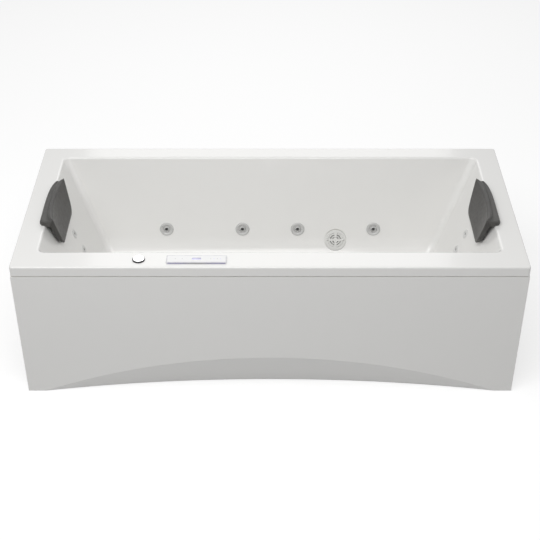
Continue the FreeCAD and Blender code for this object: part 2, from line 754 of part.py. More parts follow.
def toe_tool(label, raised):
    """Everything under the toe recess: the arch swept along the recess's slant."""
    radius = "((toe_half ^ 2 + toe_height ^ 2) / (2 * toe_height))"
    start = Vector(0, -size("toe_inset"), size("toe_height"))
    arch = outline(f"{label}_arch", "XZ", [
        ("-toe_half", "0", radius, -1),
        ("toe_half", "0"),
        ("toe_half", "-2 * toe_height"),
        ("-toe_half", "-2 * toe_height")],
        Vector(0, -size("bath_width / 2"), size(raised)) + start)
    return extrude(label, arch, start * -1.0, "6 * toe_height")


def front_panel():
    """Thin panel with turned-in top and ends; its foot sweeps inwards as a toe recess."""
    depth = "toe_inset + 2 * panel_wall"
    front = "-bath_width / 2"
    blank = block("panel_blank", "bath_length", depth, f"{PANEL_TOP} - panel_lift",
                  "-bath_length / 2", front, "panel_lift")
    form = cut("panel_form", blank, toe_tool("toe_space", "0"))
    core = block("panel_core", "bath_length - 2 * panel_wall", depth, f"{PANEL_TOP} - panel_wall",
                 "-bath_length / 2 + panel_wall", f"{front} + panel_wall", "0")
    core = cut("panel_core_cut", core, toe_tool("toe_skin", "panel_wall * 2.5"))
    skin = cut("panel_skin", form, core)
    trim = block("panel_trim", "2 * bath_length", depth, f"{PANEL_TOP}",
                 "-bath_length", f"{front} + panel_return", "toe_height + 2.5 * panel_wall")
    return cut("panel", skin, trim)


# ----------------------------------------------------------------------------------------------
# Water jets
# ----------------------------------------------------------------------------------------------
def jet_ring():
    """Face ring with a dished front, a socket for the eyeball and a sleeve through the wall."""
    socket = "(jet_ball_r + ball_gap)"
    lip = "1"
    mouth = f"sqrt({socket} ^ 2 - (jet_ball_back + {lip}) ^ 2)"
    return turned("jet_ring_form", [
        ("jet_sleeve_r", "-jet_sleeve_len"),
        ("jet_sleeve_r", "0"),
        ("jet_flange_r", "0"),
        ("jet_flange_r", "jet_flange_rise - 3"),
        ("jet_flange_r - 3", "jet_flange_rise"),
        ("jet_flange_r - 6", "jet_flange_rise"),
        (f"{mouth} + 1.5", "1.6"),
        (mouth, lip, socket, -1),
        (socket, "-jet_ball_back"),
        (socket, "-jet_sleeve_len"),
    ])


def jet_nozzle():
    """Eyeball with a flat face and a flared outlet; its centre is the local origin."""
    face = "(jet_ball_r - 3.5)"
    back = "(jet_ball_r - 5)"
    return turned("jet_nozzle_form", [
        ("jet_bore_r", f"-{back}"),
        (f"sqrt(jet_ball_r ^ 2 - {back} ^ 2)", f"-{back}", "jet_ball_r", 1),
        (f"sqrt(jet_ball_r ^ 2 - {face} ^ 2)", face),
        ("jet_bore_r + 1.4", face),
        ("jet_bore_r", f"{face} - 3"),
    ])


def jet_body():
    """Body behind the wall: cup on the sleeve, water tee across it and air tee above it."""
    wall = "(shell_wall + gasket_thick)"
    cup = rod("jet_cup", "jet_cup_r", f"tee_depth - {wall}", at(0, 0, -size("tee_depth")))
    sideways = Rotation(Vector(0, 1, 0), 90)
    water = rod("jet_water", "water_r + socket_wall", "2 * tee_half",
                Placement(Vector(-size("tee_half"), 0, -size("tee_depth")), sideways))
    air = rod("jet_air", "air_r + socket_wall / 2", "2 * tee_half",
              Placement(Vector(-size("tee_half"), size("air_rise"), -size("air_depth")), sideways))
    neck = rod("jet_neck", "air_r - 3", "air_rise",
               along(Vector(0, 0, -size("air_depth")), Vector(0, 1, 0)))
    solid = fuse("jet_body_solid", cup, water, air, neck)
    bore = rod("jet_body_bore", "jet_sleeve_r + glue_gap", "jet_sleeve_len",
               at(0, 0, -size("jet_sleeve_len + glue_gap")))
    cuts = [bore]
    for side in (-1, 1):
        turn = Rotation(Vector(0, 1, 0), 90 * side)
        face = side * size("tee_half - socket_depth")
        cuts.append(rod(f"jet_water_socket_{side + 1}", "water_r + glue_gap", "2 * socket_depth",
                        Placement(Vector(face, 0, -size("tee_depth")), turn)))
        cuts.append(rod(f"jet_air_socket_{side + 1}", "air_r + glue_gap", "2 * socket_depth",
                        Placement(Vector(face, size("air_rise"), -size("air_depth")), turn)))
    return cut("jet_body_form", solid, *cuts)


def washer(label, inner, outer):
    """Flat rubber washer behind the wall."""
    return turned(label, [
        (inner, "-shell_wall - gasket_thick"),
        (outer, "-shell_wall - gasket_thick"),
        (outer, "-shell_wall"),
        (inner, "-shell_wall"),
    ])


def gaskets():
    """Washers of the jets, the micro jets and the suction fitting."""
    jet = washer("jet_washer", "jet_sleeve_r + glue_gap", "jet_cup_r")
    micro = washer("micro_washer", "micro_sleeve_r + glue_gap", "micro_cup_r")
    suction = washer("suction_washer", "suction_hole_r + glue_gap", "cover_screw_x - cover_screw_r - 0.5")
    return bundle("gaskets", copies("jet_washers", jet, JET_SEATS),
                  copies("micro_washers", micro, MICRO_SEATS),
                  copies("suction_washers", suction, [SUCTION_SEAT]))


# ----------------------------------------------------------------------------------------------
# Micro jets and suction fitting
# ----------------------------------------------------------------------------------------------
def micro_face():
    """Thin face with a recessed outlet and a sleeve through the wall."""
    return turned("micro_face_form", [
        ("2", "-20"),
        ("micro_sleeve_r", "-20"),
        ("micro_sleeve_r", "0"),
        ("micro_flange_r", "0"),
        ("micro_flange_r", "1"),
        ("micro_flange_r - 2", "micro_rise"),
        ("8", "micro_rise"),
        ("6", "0"),
        ("2", "0"),
    ])


def micro_body():
    """Cup on the micro jet's sleeve, with the riser's sockets above and below."""
    wall = "(shell_wall + gasket_thick)"
    cup = rod("micro_cup", "micro_cup_r", f"micro_depth - {wall}", at(0, 0, -size("micro_depth")))
    run = Vector(0, 1, 0)
    line = rod("micro_line", "riser_r + socket_wall", "2 * micro_cup_r + 10",
               along(Vector(0, -size("micro_cup_r") - 5, -size("micro_depth")), run))
    solid = fuse("micro_solid", cup, line)
    bore = rod("micro_bore", "micro_sleeve_r + glue_gap", "20", at(0, 0, -20 - size("glue_gap")))
    lower = rod("micro_socket_low", "riser_r + glue_gap", "socket_depth",
                along(Vector(0, -size("micro_cup_r") - 5 + size("socket_depth"), -size("micro_depth")), -run))
    upper = rod("micro_socket_high", "riser_r + glue_gap", "socket_depth",
                along(Vector(0, size("micro_cup_r") + 5 - size("socket_depth"), -size("micro_depth")), run))
    return cut("micro_body_form", solid, bore, lower, upper)


def suction_cover():
    """Domed cover with ring slots and a cross bar, over a short spigot."""
    rim = "suction_cover_r"
    disc = turned("suction_disc", [
        ("0", "0.5"),
        (f"{rim} - 2", "0.5"),
        (f"{rim}", "1.5"),
        (f"{rim} - 1.5", "4"),
        (f"{rim} - 6", "4.5"),
        (f"{rim} - 7", "3.5"),
        (f"{rim} - 9", "4"),
        ("0", "suction_rise"),
    ])
    slots = []
    for i in range(3):
        radius = f"(10 + {9 * i})"
        ring = turned(f"suction_slot_{i}", [
            (f"{radius}", "-1"), (f"{radius} + 4", "-1"), (f"{radius} + 4", "20"), (f"{radius}", "20")])
        slots.append(ring)
    bar = block("suction_bar", "2 * suction_cover_r - 16", "9", "4",
                "-suction_cover_r + 8", "-4.5", "0.5")
    cross = block("suction_cross", "9", "2 * suction_cover_r - 16", "4",
                  "-4.5", "-suction_cover_r + 8", "0.5")
    grille = fuse("suction_grille_barred", cut("suction_grille", disc, *slots), bar, cross)
    return cut("suction_cover_form", grille, cover_screw_bores("cover_bores", 1))


def suction_body():
    """Flanged body behind the seat with its outlet to the right."""
    face = size("shell_wall + gasket_thick")
    outer = "(suction_r + socket_wall)"
    flange = rod("suction_flange", "suction_cup_r", "12", at(0, 0, -face - 12))
    cup = rod("suction_cup", f"{outer} + 2", f"suction_depth + {outer} - shell_wall - gasket_thick",
              at(0, 0, -size(f"suction_depth + {outer}")))
    neck = rod("suction_neck", "suction_hole_r", "shell_wall + gasket_thick + 1", at(0, 0, -face - 1))
    arm = rod("suction_arm", outer, "suction_cup_r + 24",
              along(Vector(0, 0, -size("suction_depth")), Vector(1, 0, 0)))
    solid = fuse("suction_solid", flange, cup, neck, arm)
    well = rod("suction_well", "suction_hole_r - 4", "suction_depth + 20", at(0, 0, -size("suction_depth")))
    socket = rod("suction_socket", "suction_r + glue_gap", "40",
                 along(Vector(size("suction_cup_r + 24 - socket_depth"), 0, -size("suction_depth")),
                       Vector(1, 0, 0)))
    return cut("suction_body_form", solid, well, socket, cover_screw_bores("body_screw_bores", 16))


def cover_screw_spots(height):
    """Places of the two cover screws, in the suction fitting's own axes."""
    return [at(side * size("cover_screw_x"), 0, height) for side in (-1, 1)]


def cover_screw_bores(label, depth):
    """Bores for the cover screws, down to a depth behind the seat."""
    bore = rod(f"{label}_form", "cover_screw_r + glue_gap", "60")
    return copies(label, bore, cover_screw_spots(-depth))


# ----------------------------------------------------------------------------------------------
# Pipework: sockets, elbows and tees
# ----------------------------------------------------------------------------------------------
def pipe(label, radius, start, end):
    """Round pipe between two points."""
    run = end - start
    return rod(label, radius, repr(run.Length), along(start, run))


def elbow(label, radius, corner, first, second):
    """Quarter bend with a socket on each arm; first and second point away from the corner."""
    bend = f"{radius} * elbow_ratio + 2"
    ring = add("Part::Torus", f"{label}_ring")
    bind(ring, "Radius1", bend)
    bind(ring, "Radius2", f"{radius} + socket_wall / 2")
    ring.Angle3 = 90
    reach = size(bend)
    place = frame_at(corner + first * reach + second * reach, second * -1, first * -1, second.cross(first))
    arms, bores = [], []
    for i, (spot, way) in enumerate(((Vector(reach, 0, 0), Vector(0, -1, 0)),
                                     (Vector(0, reach, 0), Vector(-1, 0, 0)))):
        arms.append(rod(f"{label}_arm_{i}", f"{radius} + socket_wall", "socket_depth + 3", along(spot, way)))
        bores.append(rod(f"{label}_bore_{i}", f"{radius} + glue_gap", "2 * socket_depth",
                         along(spot + way * 3, way)))
    form = cut(label, fuse(f"{label}_solid", ring, *arms), *bores)
    form.Placement = place
    return form


def elbow_reach(radius):
    """Distance from an elbow's corner to the foot of its socket."""
    return size(f"{radius} * elbow_ratio + 5")


def tee(label, radius, branch_radius, centre, run, branch):
    """Straight fitting along run with one branch; all three mouths are sockets."""
    half = "(socket_depth + 12)"
    side = f"({radius} + socket_wall + socket_depth)"
    body = rod(f"{label}_body", f"{radius} + socket_wall", f"2 * {half}",
               along(Vector(-size(half), 0, 0), Vector(1, 0, 0)))
    arm = rod(f"{label}_arm", f"{branch_radius} + socket_wall", side, along(Vector(0, 0, 0), Vector(0, 1, 0)))
    bores = [rod(f"{label}_bore_{i}", f"{radius} + glue_gap", "2 * socket_depth",
                 along(Vector(way * size(f"{half} - socket_depth"), 0, 0), Vector(way, 0, 0)))
             for i, way in enumerate((-1, 1))]
    bores.append(rod(f"{label}_branch", f"{branch_radius} + glue_gap", "2 * socket_depth",
                     along(Vector(0, size(f"{side} - socket_depth"), 0), Vector(0, 1, 0))))
    form = cut(label, fuse(f"{label}_solid", body, arm), *bores)
    form.Placement = frame_at(centre, run, branch, run.cross(branch))
    return form


TEE_FOOT = size("12")


def tee_side(radius):
    """Distance from a tee's centre to the foot of its branch socket."""
    return size(f"{radius} + socket_wall")


def on_wall(place, x=0.0, y=0.0, z=0.0):
    """Point given in a seat's own axes."""
    return place.multVec(Vector(x, y, z))


def water_line_points():
    """Water line: its height, its front and back runs and its end headers."""
    back = on_wall(JET_SEATS[0], z=-size("tee_depth"))
    front = on_wall(JET_SEATS[4], z=-size("tee_depth"))
    riser = on_wall(MICRO_SEATS[3], z=-size("micro_depth"))
    slope = math.tan(math.radians(size("end_lean")))
    header = riser.x - (riser.z - back.z) * slope
    return back.z, front.y, back.y, header


WATER_Z, WATER_FRONT, WATER_BACK, WATER_END = water_line_points()
PUMP_X = WATER_END + size("pump_out_offset")
PUMP_OUT_Y = size("pump_y + volute_length / 2")


def runs_between(label, radius, line, stops, direction):
    """Pipes from socket foot to socket foot; stops are (centre, reach) in order along direction."""
    pipes = []
    for i in range(len(stops) - 1):
        (here, reach), (there, other) = stops[i], stops[i + 1]
        start = line + direction * (here + reach)
        end = line + direction * (there - other)
        pipes.append(pipe(f"{label}_{i}", radius, start, end))
    return pipes


def water_system():
    """Ring main round the basin: straight pipes in one list, fittings in another."""
    pipes, fittings = [], []
    jet_foot = size("tee_half - socket_depth")
    bend = elbow_reach("water_r")
    east, north = Vector(1, 0, 0), Vector(0, 1, 0)
    for name, y in (("front", WATER_FRONT), ("back", WATER_BACK)):
        stops = [(-WATER_END, bend)] + [(x, jet_foot) for x in JET_X] + [(WATER_END, bend)]
        pipes += runs_between(f"water_{name}", "water_r", Vector(0, y, WATER_Z), stops, east)
        inward = north if y < 0 else north * -1
        for side, way in ((-1, east), (1, east * -1)):
            fittings.append(elbow(f"water_elbow_{name}_{side + 1}", "water_r",
                                  Vector(side * WATER_END, y, WATER_Z), way, inward))
    for side, name in ((-1, "left"), (1, "right")):
        line = Vector(side * WATER_END, 0, WATER_Z)
        stops = [(WATER_FRONT, bend), (size("micro_y"), TEE_FOOT)]
        if side > 0:
            stops.append((PUMP_OUT_Y, TEE_FOOT))
        stops.append((WATER_BACK, bend))
        pipes += runs_between(f"water_{name}", "water_r", line, stops, north)
        upper, lower = MICRO_SEATS[0 if side < 0 else 2], MICRO_SEATS[1 if side < 0 else 3]
        climb = upper.Rotation.multVec(Vector(0, 1, 0))
        centre = line + north * size("micro_y")
        fittings.append(tee(f"micro_tee_{name}", "water_r", "riser_r", centre, north, climb))
        foot = size("micro_cup_r + 5 - socket_depth")
        low_mid = on_wall(lower, z=-size("micro_depth"))
        high_mid = on_wall(upper, z=-size("micro_depth"))
        pipes.append(pipe(f"riser_low_{name}", "riser_r", centre + climb * tee_side("water_r"),
                          low_mid - climb * foot))
        pipes.append(pipe(f"riser_high_{name}", "riser_r", low_mid + climb * foot, high_mid - climb * foot))
        pipes.append(pipe(f"riser_cap_{name}", "riser_r", high_mid + climb * foot,
                          high_mid + climb * (foot + size("socket_depth") + 3)))
    outlet = Vector(WATER_END, PUMP_OUT_Y, WATER_Z)
    fittings.append(tee("pump_tee", "water_r", "water_r", outlet, north, Vector(0, 0, -1)))
    top = outlet - Vector(0, 0, tee_side("water_r"))
    bottom = Vector(outlet.x, outlet.y, size("pump_height + volute_r + 14 - socket_depth"))
    pipes.append(pipe("pump_riser", "water_r", bottom, top))
    return pipes, fittings


def air_system():
    """Air line along both rows of jets, joined round the left end and capped at the right."""
    pipes, fittings = [], []
    jet_foot = size("tee_half - socket_depth")
    bend = elbow_reach("air_r")
    east, north = Vector(1, 0, 0), Vector(0, 1, 0)
    back = on_wall(JET_SEATS[0], y=size("air_rise"), z=-size("air_depth"))
    front = on_wall(JET_SEATS[4], y=size("air_rise"), z=-size("air_depth"))
    header = -size("air_header_x")
    for name, y in (("front", front.y), ("back", back.y)):
        stops = [(header, bend)]
        if name == "front":
            stops.append((-size("air_tee_x"), TEE_FOOT))
        stops += [(x, jet_foot) for x in JET_X]
        stops.append((JET_X[-1] + size("tee_half") + 6, 0))
        line = Vector(0, y, back.z)
        pipes += runs_between(f"air_{name}", "air_r", line, stops, east)
        inward = north if y < 0 else north * -1
        fittings.append(elbow(f"air_elbow_{name}", "air_r", Vector(header, y, back.z), east, inward))
    centre = Vector(-size("air_tee_x"), front.y, back.z)
    fittings.append(tee("air_tee", "air_r", "riser_r", centre, east, Vector(0, 0, 1)))
    pipes += runs_between("air_header", "air_r", Vector(header, 0, back.z),
                          [(front.y, bend), (back.y, bend)], north)
    return pipes, fittings, centre + Vector(0, 0, tee_side("air_r"))


def suction_system():
    """Pipe from the suction fitting round the corner and down to the pump's inlet."""
    start = on_wall(SUCTION_SEAT, z=-size("suction_depth"))
    east, north, up = Vector(1, 0, 0), Vector(0, 1, 0), Vector(0, 0, 1)
    bend = elbow_reach("suction_r")
    corner = Vector(PUMP_X, start.y, start.z)
    high = Vector(PUMP_X, size("suction_drop_y"), start.z)
    low = Vector(high.x, high.y, size("pump_height"))
    inlet = size("pump_y + volute_length + 30 - socket_depth")
    first = start + east * size("suction_cup_r + 24 - socket_depth")
    pipes = [
        pipe("suction_run", "suction_r", first, corner - east * bend),
        pipe("suction_across", "suction_r", corner - north * bend, high + north * bend),
        pipe("suction_drop", "suction_r", high - up * bend, low + up * bend),
        pipe("suction_inlet", "suction_r", low - north * bend, Vector(low.x, inlet, low.z)),
    ]
    fittings = [
        elbow("suction_elbow_corner", "suction_r", corner, east * -1, north * -1),
        elbow("suction_elbow_high", "suction_r", high, north, up * -1),
        elbow("suction_elbow_low", "suction_r", low, up, north * -1),
    ]
    return pipes, fittings


# ----------------------------------------------------------------------------------------------
# Waste and overflow
# ----------------------------------------------------------------------------------------------
def drain_body():
    """Flange, tail and a three-armed guide for the plug's stem."""
    flange_z = "-drain_flange_t"
    shell = turned("drain_shell", [
        ("drain_throat_r", "-62"),
        ("drain_tail_r", "-62"),
        ("drain_tail_r", flange_z),
        ("drain_flange_r", flange_z),
        ("drain_flange_r", "-1"),
        ("drain_flange_r - 1", "0"),
        ("plug_r + 1", "0"),
        ("drain_throat_r + 2", "-1.5"),
        ("drain_throat_r", "-4"),
    ])
    nut_z = f"-shell_wall - board_thick - 8"
    collar = turned("drain_collar", [
        ("drain_tail_r - 1", nut_z),
        ("drain_tail_r + 12", nut_z),
        ("drain_tail_r + 12", "-shell_wall"),
        ("drain_tail_r - 1", "-shell_wall"),
    ])
    hub = rod("drain_hub", "plug_stem_r + 4", "10", at(0, 0, -40))
    arms = []
    for i in range(3):
        turn = Placement(Vector(0, 0, -39), Rotation(Vector(0, 0, 1), 120 * i))
        arms.append(slab(f"drain_arm_{i}", "drain_throat_r + 1", "3", "8", turn * at(0, -1.5, 0)))
    solid = fuse("drain_solid", shell, collar, hub, *arms)
    guide = rod("drain_guide", "plug_stem_r + shaft_gap", "20", at(0, 0, -45))
    form = cut("drain_form", solid, guide)
    form.Placement = at(0, size("drain_y"), FLOOR_Z)
    return form


def drain_plug():
    """Domed plug on a stem."""
    plug = turned("plug_form", [
        ("0", "-48"),
        ("plug_stem_r", "-48"),
        ("plug_stem_r", "0.5"),
        ("plug_r - 5", "0.5"),
        ("plug_r", "1.5"),
        ("plug_r", "3"),
        ("plug_r - 8", "4.5"),
        ("0", "5.5"),
    ])
    plug.Placement = at(0, size("drain_y"), FLOOR_Z)
    return plug


def overflow_body():
    """Cup behind the wall with a spigot through it, and the outlet downwards."""
    wall = "shell_wall"
    cup = rod("overflow_cup", "overflow_knob_r - 3", "overflow_line + 12 - shell_wall",
              at(0, 0, -size("overflow_line") - 12))
    spigot = rod("overflow_spigot", "overflow_knob_r - 9 - glue_gap", f"{wall} + 1", at(0, 0, -size(wall) - 1))
    well = rod("overflow_well", "overflow_knob_r - 13", "overflow_line + 5", at(0, 0, -size("overflow_line")))
    hollow = cut("overflow_hollow", fuse("overflow_solid", cup, spigot), well)
    hollow.Placement = OVERFLOW_SEAT
    post = rod("overflow_post", "5", "overflow_line", OVERFLOW_SEAT * at(0, 0, -size("overflow_line")))
    line = on_wall(OVERFLOW_SEAT, z=-size("overflow_line"))
    sleeve = rod("overflow_sleeve", "overflow_r + socket_wall", "30 + overflow_knob_r / 2",
                 along(line, Vector(0, 0, -1)))
    solid = fuse("overflow_joined", hollow, post, sleeve)
    socket = rod("overflow_socket", "overflow_r + glue_gap", "40",
                 along(line - Vector(0, 0, size("30 + overflow_knob_r / 2 - socket_depth")), Vector(0, 0, -1)))
    return cut("overflow_form", solid, socket)


def overflow_knob():
    """Dished turning knob that lifts the plug through its cable."""
    knob = turned("overflow_knob_form", [
        ("5", "0.3"),
        ("5.05", "-3"),
        ("9", "-3"),
        ("9", "3"),
        ("overflow_knob_r - 1", "3"),
        ("overflow_knob_r", "4"),
        ("overflow_knob_r", "9"),
        ("overflow_knob_r - 3", "12"),
        ("10", "10"),
        ("0", "10"),
        ("0", "0.3"),
    ])
    knob.Placement = OVERFLOW_SEAT
    return knob


def waste_system():
    """Drum trap under the drain, its outlet socket to the back, and the overflow pipe into it."""
    height = size("waste_height")
    drain = Vector(0, size("drain_y"), 0)
    up, north = Vector(0, 0, 1), Vector(0, 1, 0)
    drum_top = "waste_height + 24"
    drum = rod("trap_drum", "trap_r", f"{drum_top} - 24", Placement(drain + Vector(0, 0, 24), Rotation()))
    neck = rod("trap_neck", "drain_tail_r + socket_wall", "30",
               Placement(drain + Vector(0, 0, height + 6), Rotation()))
    inlet = rod("trap_inlet", "overflow_r + socket_wall", "trap_arm", along(drain + up * height, north * -1))
    outlet = rod("trap_outlet", "waste_r + socket_wall", "trap_arm + 10", along(drain + up * height, north))
    solid = fuse("trap_solid", drum, neck, inlet, outlet)
    throat = rod("trap_throat", "drain_tail_r + glue_gap", "40",
                 Placement(Vector(0, drain.y, FLOOR_Z - 62 - size("glue_gap")), Rotation()))
    foot = size("trap_arm - socket_depth")
    bore_in = rod("trap_bore_in", "overflow_r + glue_gap", "40",
                  along(drain + up * height - north * foot, north * -1))
    bore_out = rod("trap_bore_out", "waste_r + glue_gap", "40",
                   along(drain + up * height + north * size("trap_arm + 10 - outlet_depth"), north))
    trap = cut("trap_form", solid, throat, bore_in, bore_out)

    line = on_wall(OVERFLOW_SEAT, z=-size("overflow_line"))
    corner = Vector(0, line.y, height)
    bend = elbow_reach("overflow_r")
    top = line - up * size("30 + overflow_knob_r / 2 - socket_depth")
    overflow = bundle("overflow_pipes",
                      pipe("overflow_drop", "overflow_r", corner + up * bend, top),
                      pipe("overflow_run", "overflow_r", corner + north * bend, drain + up * height - north * foot),
                      elbow("overflow_elbow", "overflow_r", corner, up, north))
    return trap, overflow


# ----------------------------------------------------------------------------------------------
# Deck controls: air valve and keypad
# ----------------------------------------------------------------------------------------------
KNOB_SPOT = Vector(-size("knob_x"), -size("knob_y"), RIM_Z)


def air_valve():
    """Valve through the deck: seat ring, thread, nut, body and hose tail."""
    valve = turned("valve_form", [
        ("0", "-valve_drop"),
        ("riser_r", "-valve_drop"),
        ("riser_r", "-valve_drop + 18"),
        ("13", "-valve_drop + 18"),
        ("13", "-shell_wall - 8"),
        ("16", "-shell_wall - 8"),
        ("16", "-shell_wall"),
        ("valve_thread_r", "-shell_wall"),
        ("valve_thread_r", "0"),
        ("knob_r - 4", "0"),
        ("knob_r - 4", "1"),
        ("valve_stem_r", "1"),
        ("valve_stem_r", "4"),
        ("0", "4"),
    ])
    valve.Placement = Placement(KNOB_SPOT, Rotation())
    return valve


def air_knob():
    """Low domed knob on the valve's spindle."""
    knob = turned("knob_form", [
        ("0", "4.2"),
        ("valve_stem_r + shaft_gap", "4.2"),
        ("valve_stem_r + shaft_gap", "1.3"),
        ("knob_r - 3", "1.3"),
        ("knob_r - 3", "0.3"),
        ("knob_r - 1", "0.3"),
        ("knob_r", "1"),
        ("knob_r", "knob_tall - 3"),
        ("knob_r - 2.5", "knob_tall - 0.6"),
        ("knob_r - 5", "knob_tall - 0.4"),
        ("0", "knob_tall"),
    ])
    knob.Placement = Placement(KNOB_SPOT, Rotation())
    return knob


def keypad():
    """Frame on the deck with its electronics pot below, and the face that lies in it."""
    corner = Vector(-size("keypad_x"), -size("keypad_y"), RIM_Z)
    plate = block("keypad_plate", "keypad_length", "keypad_width", "keypad_tall",
                  "-keypad_length / 2", "-keypad_width / 2", "0")
    plate = rounded("keypad_soft", plate, [
        (upright_edge, "4"), (edge_at_height(size("keypad_tall")), "1.6")])
    pot = block("keypad_pot", "keypad_length / 2 - 1", "keypad_width / 2 - 1", "shell_wall + 16",
                "-keypad_length / 4 + 0.5", "-keypad_width / 4 + 0.5", "-shell_wall - 15")
    bed = block("keypad_bed", "keypad_length - 2 * keypad_border", "keypad_width - 2 * keypad_border", "3",
                "-keypad_length / 2 + keypad_border", "-keypad_width / 2 + keypad_border", "keypad_tall - 1")
    frame = cut("keypad_frame", fuse("keypad_joined", plate, pot), bed)
    frame.Placement = Placement(corner, Rotation())
    face = block("keypad_sheet", "keypad_length - 2 * keypad_border - 0.4",
                 "keypad_width - 2 * keypad_border - 0.4", "1.2",
                 "-keypad_x - keypad_length / 2 + keypad_border + 0.2",
                 "-keypad_y - keypad_width / 2 + keypad_border + 0.2", "rim_height + keypad_tall - 1")
    return frame, face


def smooth_path(points, radii):
    """Path of straight runs joined by tangent arcs, one radius for each inner point."""
    edges, here = [], points[0]
    for before, corner, after, radius in zip(points, points[1:], points[2:], radii):
        arrive, leave = (corner - before).normalize(), (after - corner).normalize()
        half_turn = arrive.getAngle(leave) / 2
        back = radius * math.tan(half_turn)
        first, last = corner - arrive * back, corner + leave * back
        inward = (leave - arrive).normalize()
        centre = corner + inward * (radius / math.cos(half_turn))
        middle = centre - inward * radius
        edges.append(Part.LineSegment(here, first).toShape())
        edges.append(Part.Arc(first, middle, last).toShape())
        here = last
    edges.append(Part.LineSegment(here, points[-1]).toShape())
    return Part.Wire(edges)


def air_hose(tee_mouth):
    """Flexible hose from the valve's tail down to the air line's tee."""
    start = KNOB_SPOT - Vector(0, 0, size("valve_drop"))
    side = tee_mouth - start
    points = [
        start,
        start + Vector(0, 0, side.z * 0.3),
        tee_mouth - Vector(0, 0, side.z * 0.3),
        tee_mouth,
    ]
    run = (points[2] - points[1]).Length
    turn = Vector(0, 0, -1).getAngle(points[2] - points[1])
    radius = 0.45 * min(run, abs(side.z) * 0.3) / math.tan(turn / 2)
    path = smooth_path(points, [radius, radius])
    circle = Part.Wire(Part.Circle(start, Vector(0, 0, 1), size("riser_r")).toShape())
    hose = add("Part::Feature", "air_hose_form")
    hose.Shape = path.makePipeShell([circle], True, False)
    return hose


# ----------------------------------------------------------------------------------------------
# Headrests
# ----------------------------------------------------------------------------------------------
def pillow():
    """Right-hand headrest: a lip on the deck and a pad that hangs down in front of the end wall."""
    deck = "rim_height + pillow_gap"
    low, high = "rim_height - pillow_reach", "rim_height + pillow_rise"
    outer = f"{END_RIM} + pillow_lap"
    back = f"{END_RIM} - pillow_stand"
    front = f"{back} - pillow_thick / cos(pillow_lean)"
    drop = "pillow_reach * tan(pillow_lean)"
    wall_low = f"{END_RIM} - pillow_reach * tan(end_lean) - pillow_gap / cos(end_lean)"
    soft = "(pillow_thick * 0.6)"
    profile = outline("pillow_profile", "XZ", [
        (outer, deck),
        (outer, f"{high} - {soft}", soft, 1),
        (f"{outer} - {soft}", high),
        (f"{front} + {soft}", high, soft, 1),
        (front, f"{high} - {soft}"),
        (f"{front} - {drop}", f"{low} + {soft}", soft, 1),
        (f"{front} - {drop} + {soft}", low),
        (wall_low, low),
        (back, deck),
    ])
    solid = extrude("pillow_bar", profile, Vector(0, 1, 0), "2 * pillow_width", True)
    half, tip = "pillow_width / 2", "pillow_tip_width / 2"
    face = outline("pillow_face", "YZ", [
        (f"-{tip}", f"{low} + {soft}", soft, 1),
        (f"-{tip} + {soft}", low),
        (f"{tip} - {soft}", low, soft, 1),
        (tip, f"{low} + {soft}"),
        (half, "rim_height"),
        (half, f"{high} - {soft}", soft, 1),
        (f"{half} - {soft}", high),
        (f"-{half} + {soft}", high, soft, 1),
        (f"-{half}", f"{high} - {soft}"),
        (f"-{half}", "rim_height"),
    ])
    shape = extrude("pillow_shape", face, Vector(1, 0, 0), "bath_length")
    bow_radius = "((pillow_width ^ 2 / 4 + pillow_bow ^ 2) / (2 * pillow_bow))"
    plan = outline("pillow_plan", "XY", [
        (f"{END_RIM} - pillow_width", f"-{half}"),
        (f"{outer} - pillow_bow", f"-{half}", bow_radius, 1),
        (f"{outer} - pillow_bow", half),
        (f"{END_RIM} - pillow_width", half),
    ])
    crescent = extrude("pillow_crescent", plan, Vector(0, 0, 1), "2 * rim_height")
    return common("pillow_form", solid, shape, crescent)


# ----------------------------------------------------------------------------------------------
# Pump
# ----------------------------------------------------------------------------------------------
def pump_axis(offset=0.0):
    """Placement on the pump's axis: local +Z runs to the back, local +Y up."""
    spot = Vector(PUMP_X, size("pump_y") + offset, size("pump_height"))
    return frame_at(spot, Vector(-1, 0, 0), Vector(0, 0, 1), Vector(0, 1, 0))


def pump_motor():
    """Ribbed motor with a fan cover and a foot."""
    hull = turned("motor_hull", [
        ("shaft_r + shaft_gap", "-motor_length"),
        ("shaft_r + shaft_gap", "0"),
        ("volute_r", "0"),
        ("volute_r", "-8"),
        ("motor_r - 5", "-12"),
        ("motor_r - 5", "-motor_length"),
        ("motor_r", "-motor_length"),
        ("motor_r", "-motor_length - fan_cover_len + 8"),
        ("motor_r - 8", "-motor_length - fan_cover_len"),
        ("30", "-motor_length - fan_cover_len"),
        ("30", "-motor_length - fan_cover_len + 2"),
        ("motor_r - 9", "-motor_length - fan_cover_len + 2"),
        ("motor_r - 2", "-motor_length - fan_cover_len + 9"),
        ("motor_r - 2", "-motor_length - 4"),
        ("motor_r - 6", "-motor_length - 4"),
        ("motor_r - 12", "-motor_length"),
    ])
    ribs = []
    for i in range(14):
        turn = Placement(Vector(0, 0, 0), Rotation(Vector(0, 0, 1), 360.0 * (i + 0.5) / 14))
        ribs.append(slab(f"motor_rib_{i}", "6", "3", "motor_length - 12",
                         turn * at(size("motor_r") - 6, -1.5, -size("motor_length"))))
    foot_drop = "pump_height - shelf_height"
    foot = block("motor_foot", "90", f"{foot_drop} - motor_r + 16", "70", "-45",
                 f"-({foot_drop})", "-motor_length / 2 - 40")
    terminals = block("motor_terminals", "64", "34", "76", "-32", "motor_r - 10", "-motor_length / 2 - 38")
    terminals = rounded("motor_terminals_soft", terminals, [(lambda edge: True, "3")])
    form = fuse("motor_form", hull, *ribs, foot, terminals)
    form.Placement = pump_axis()
    return form


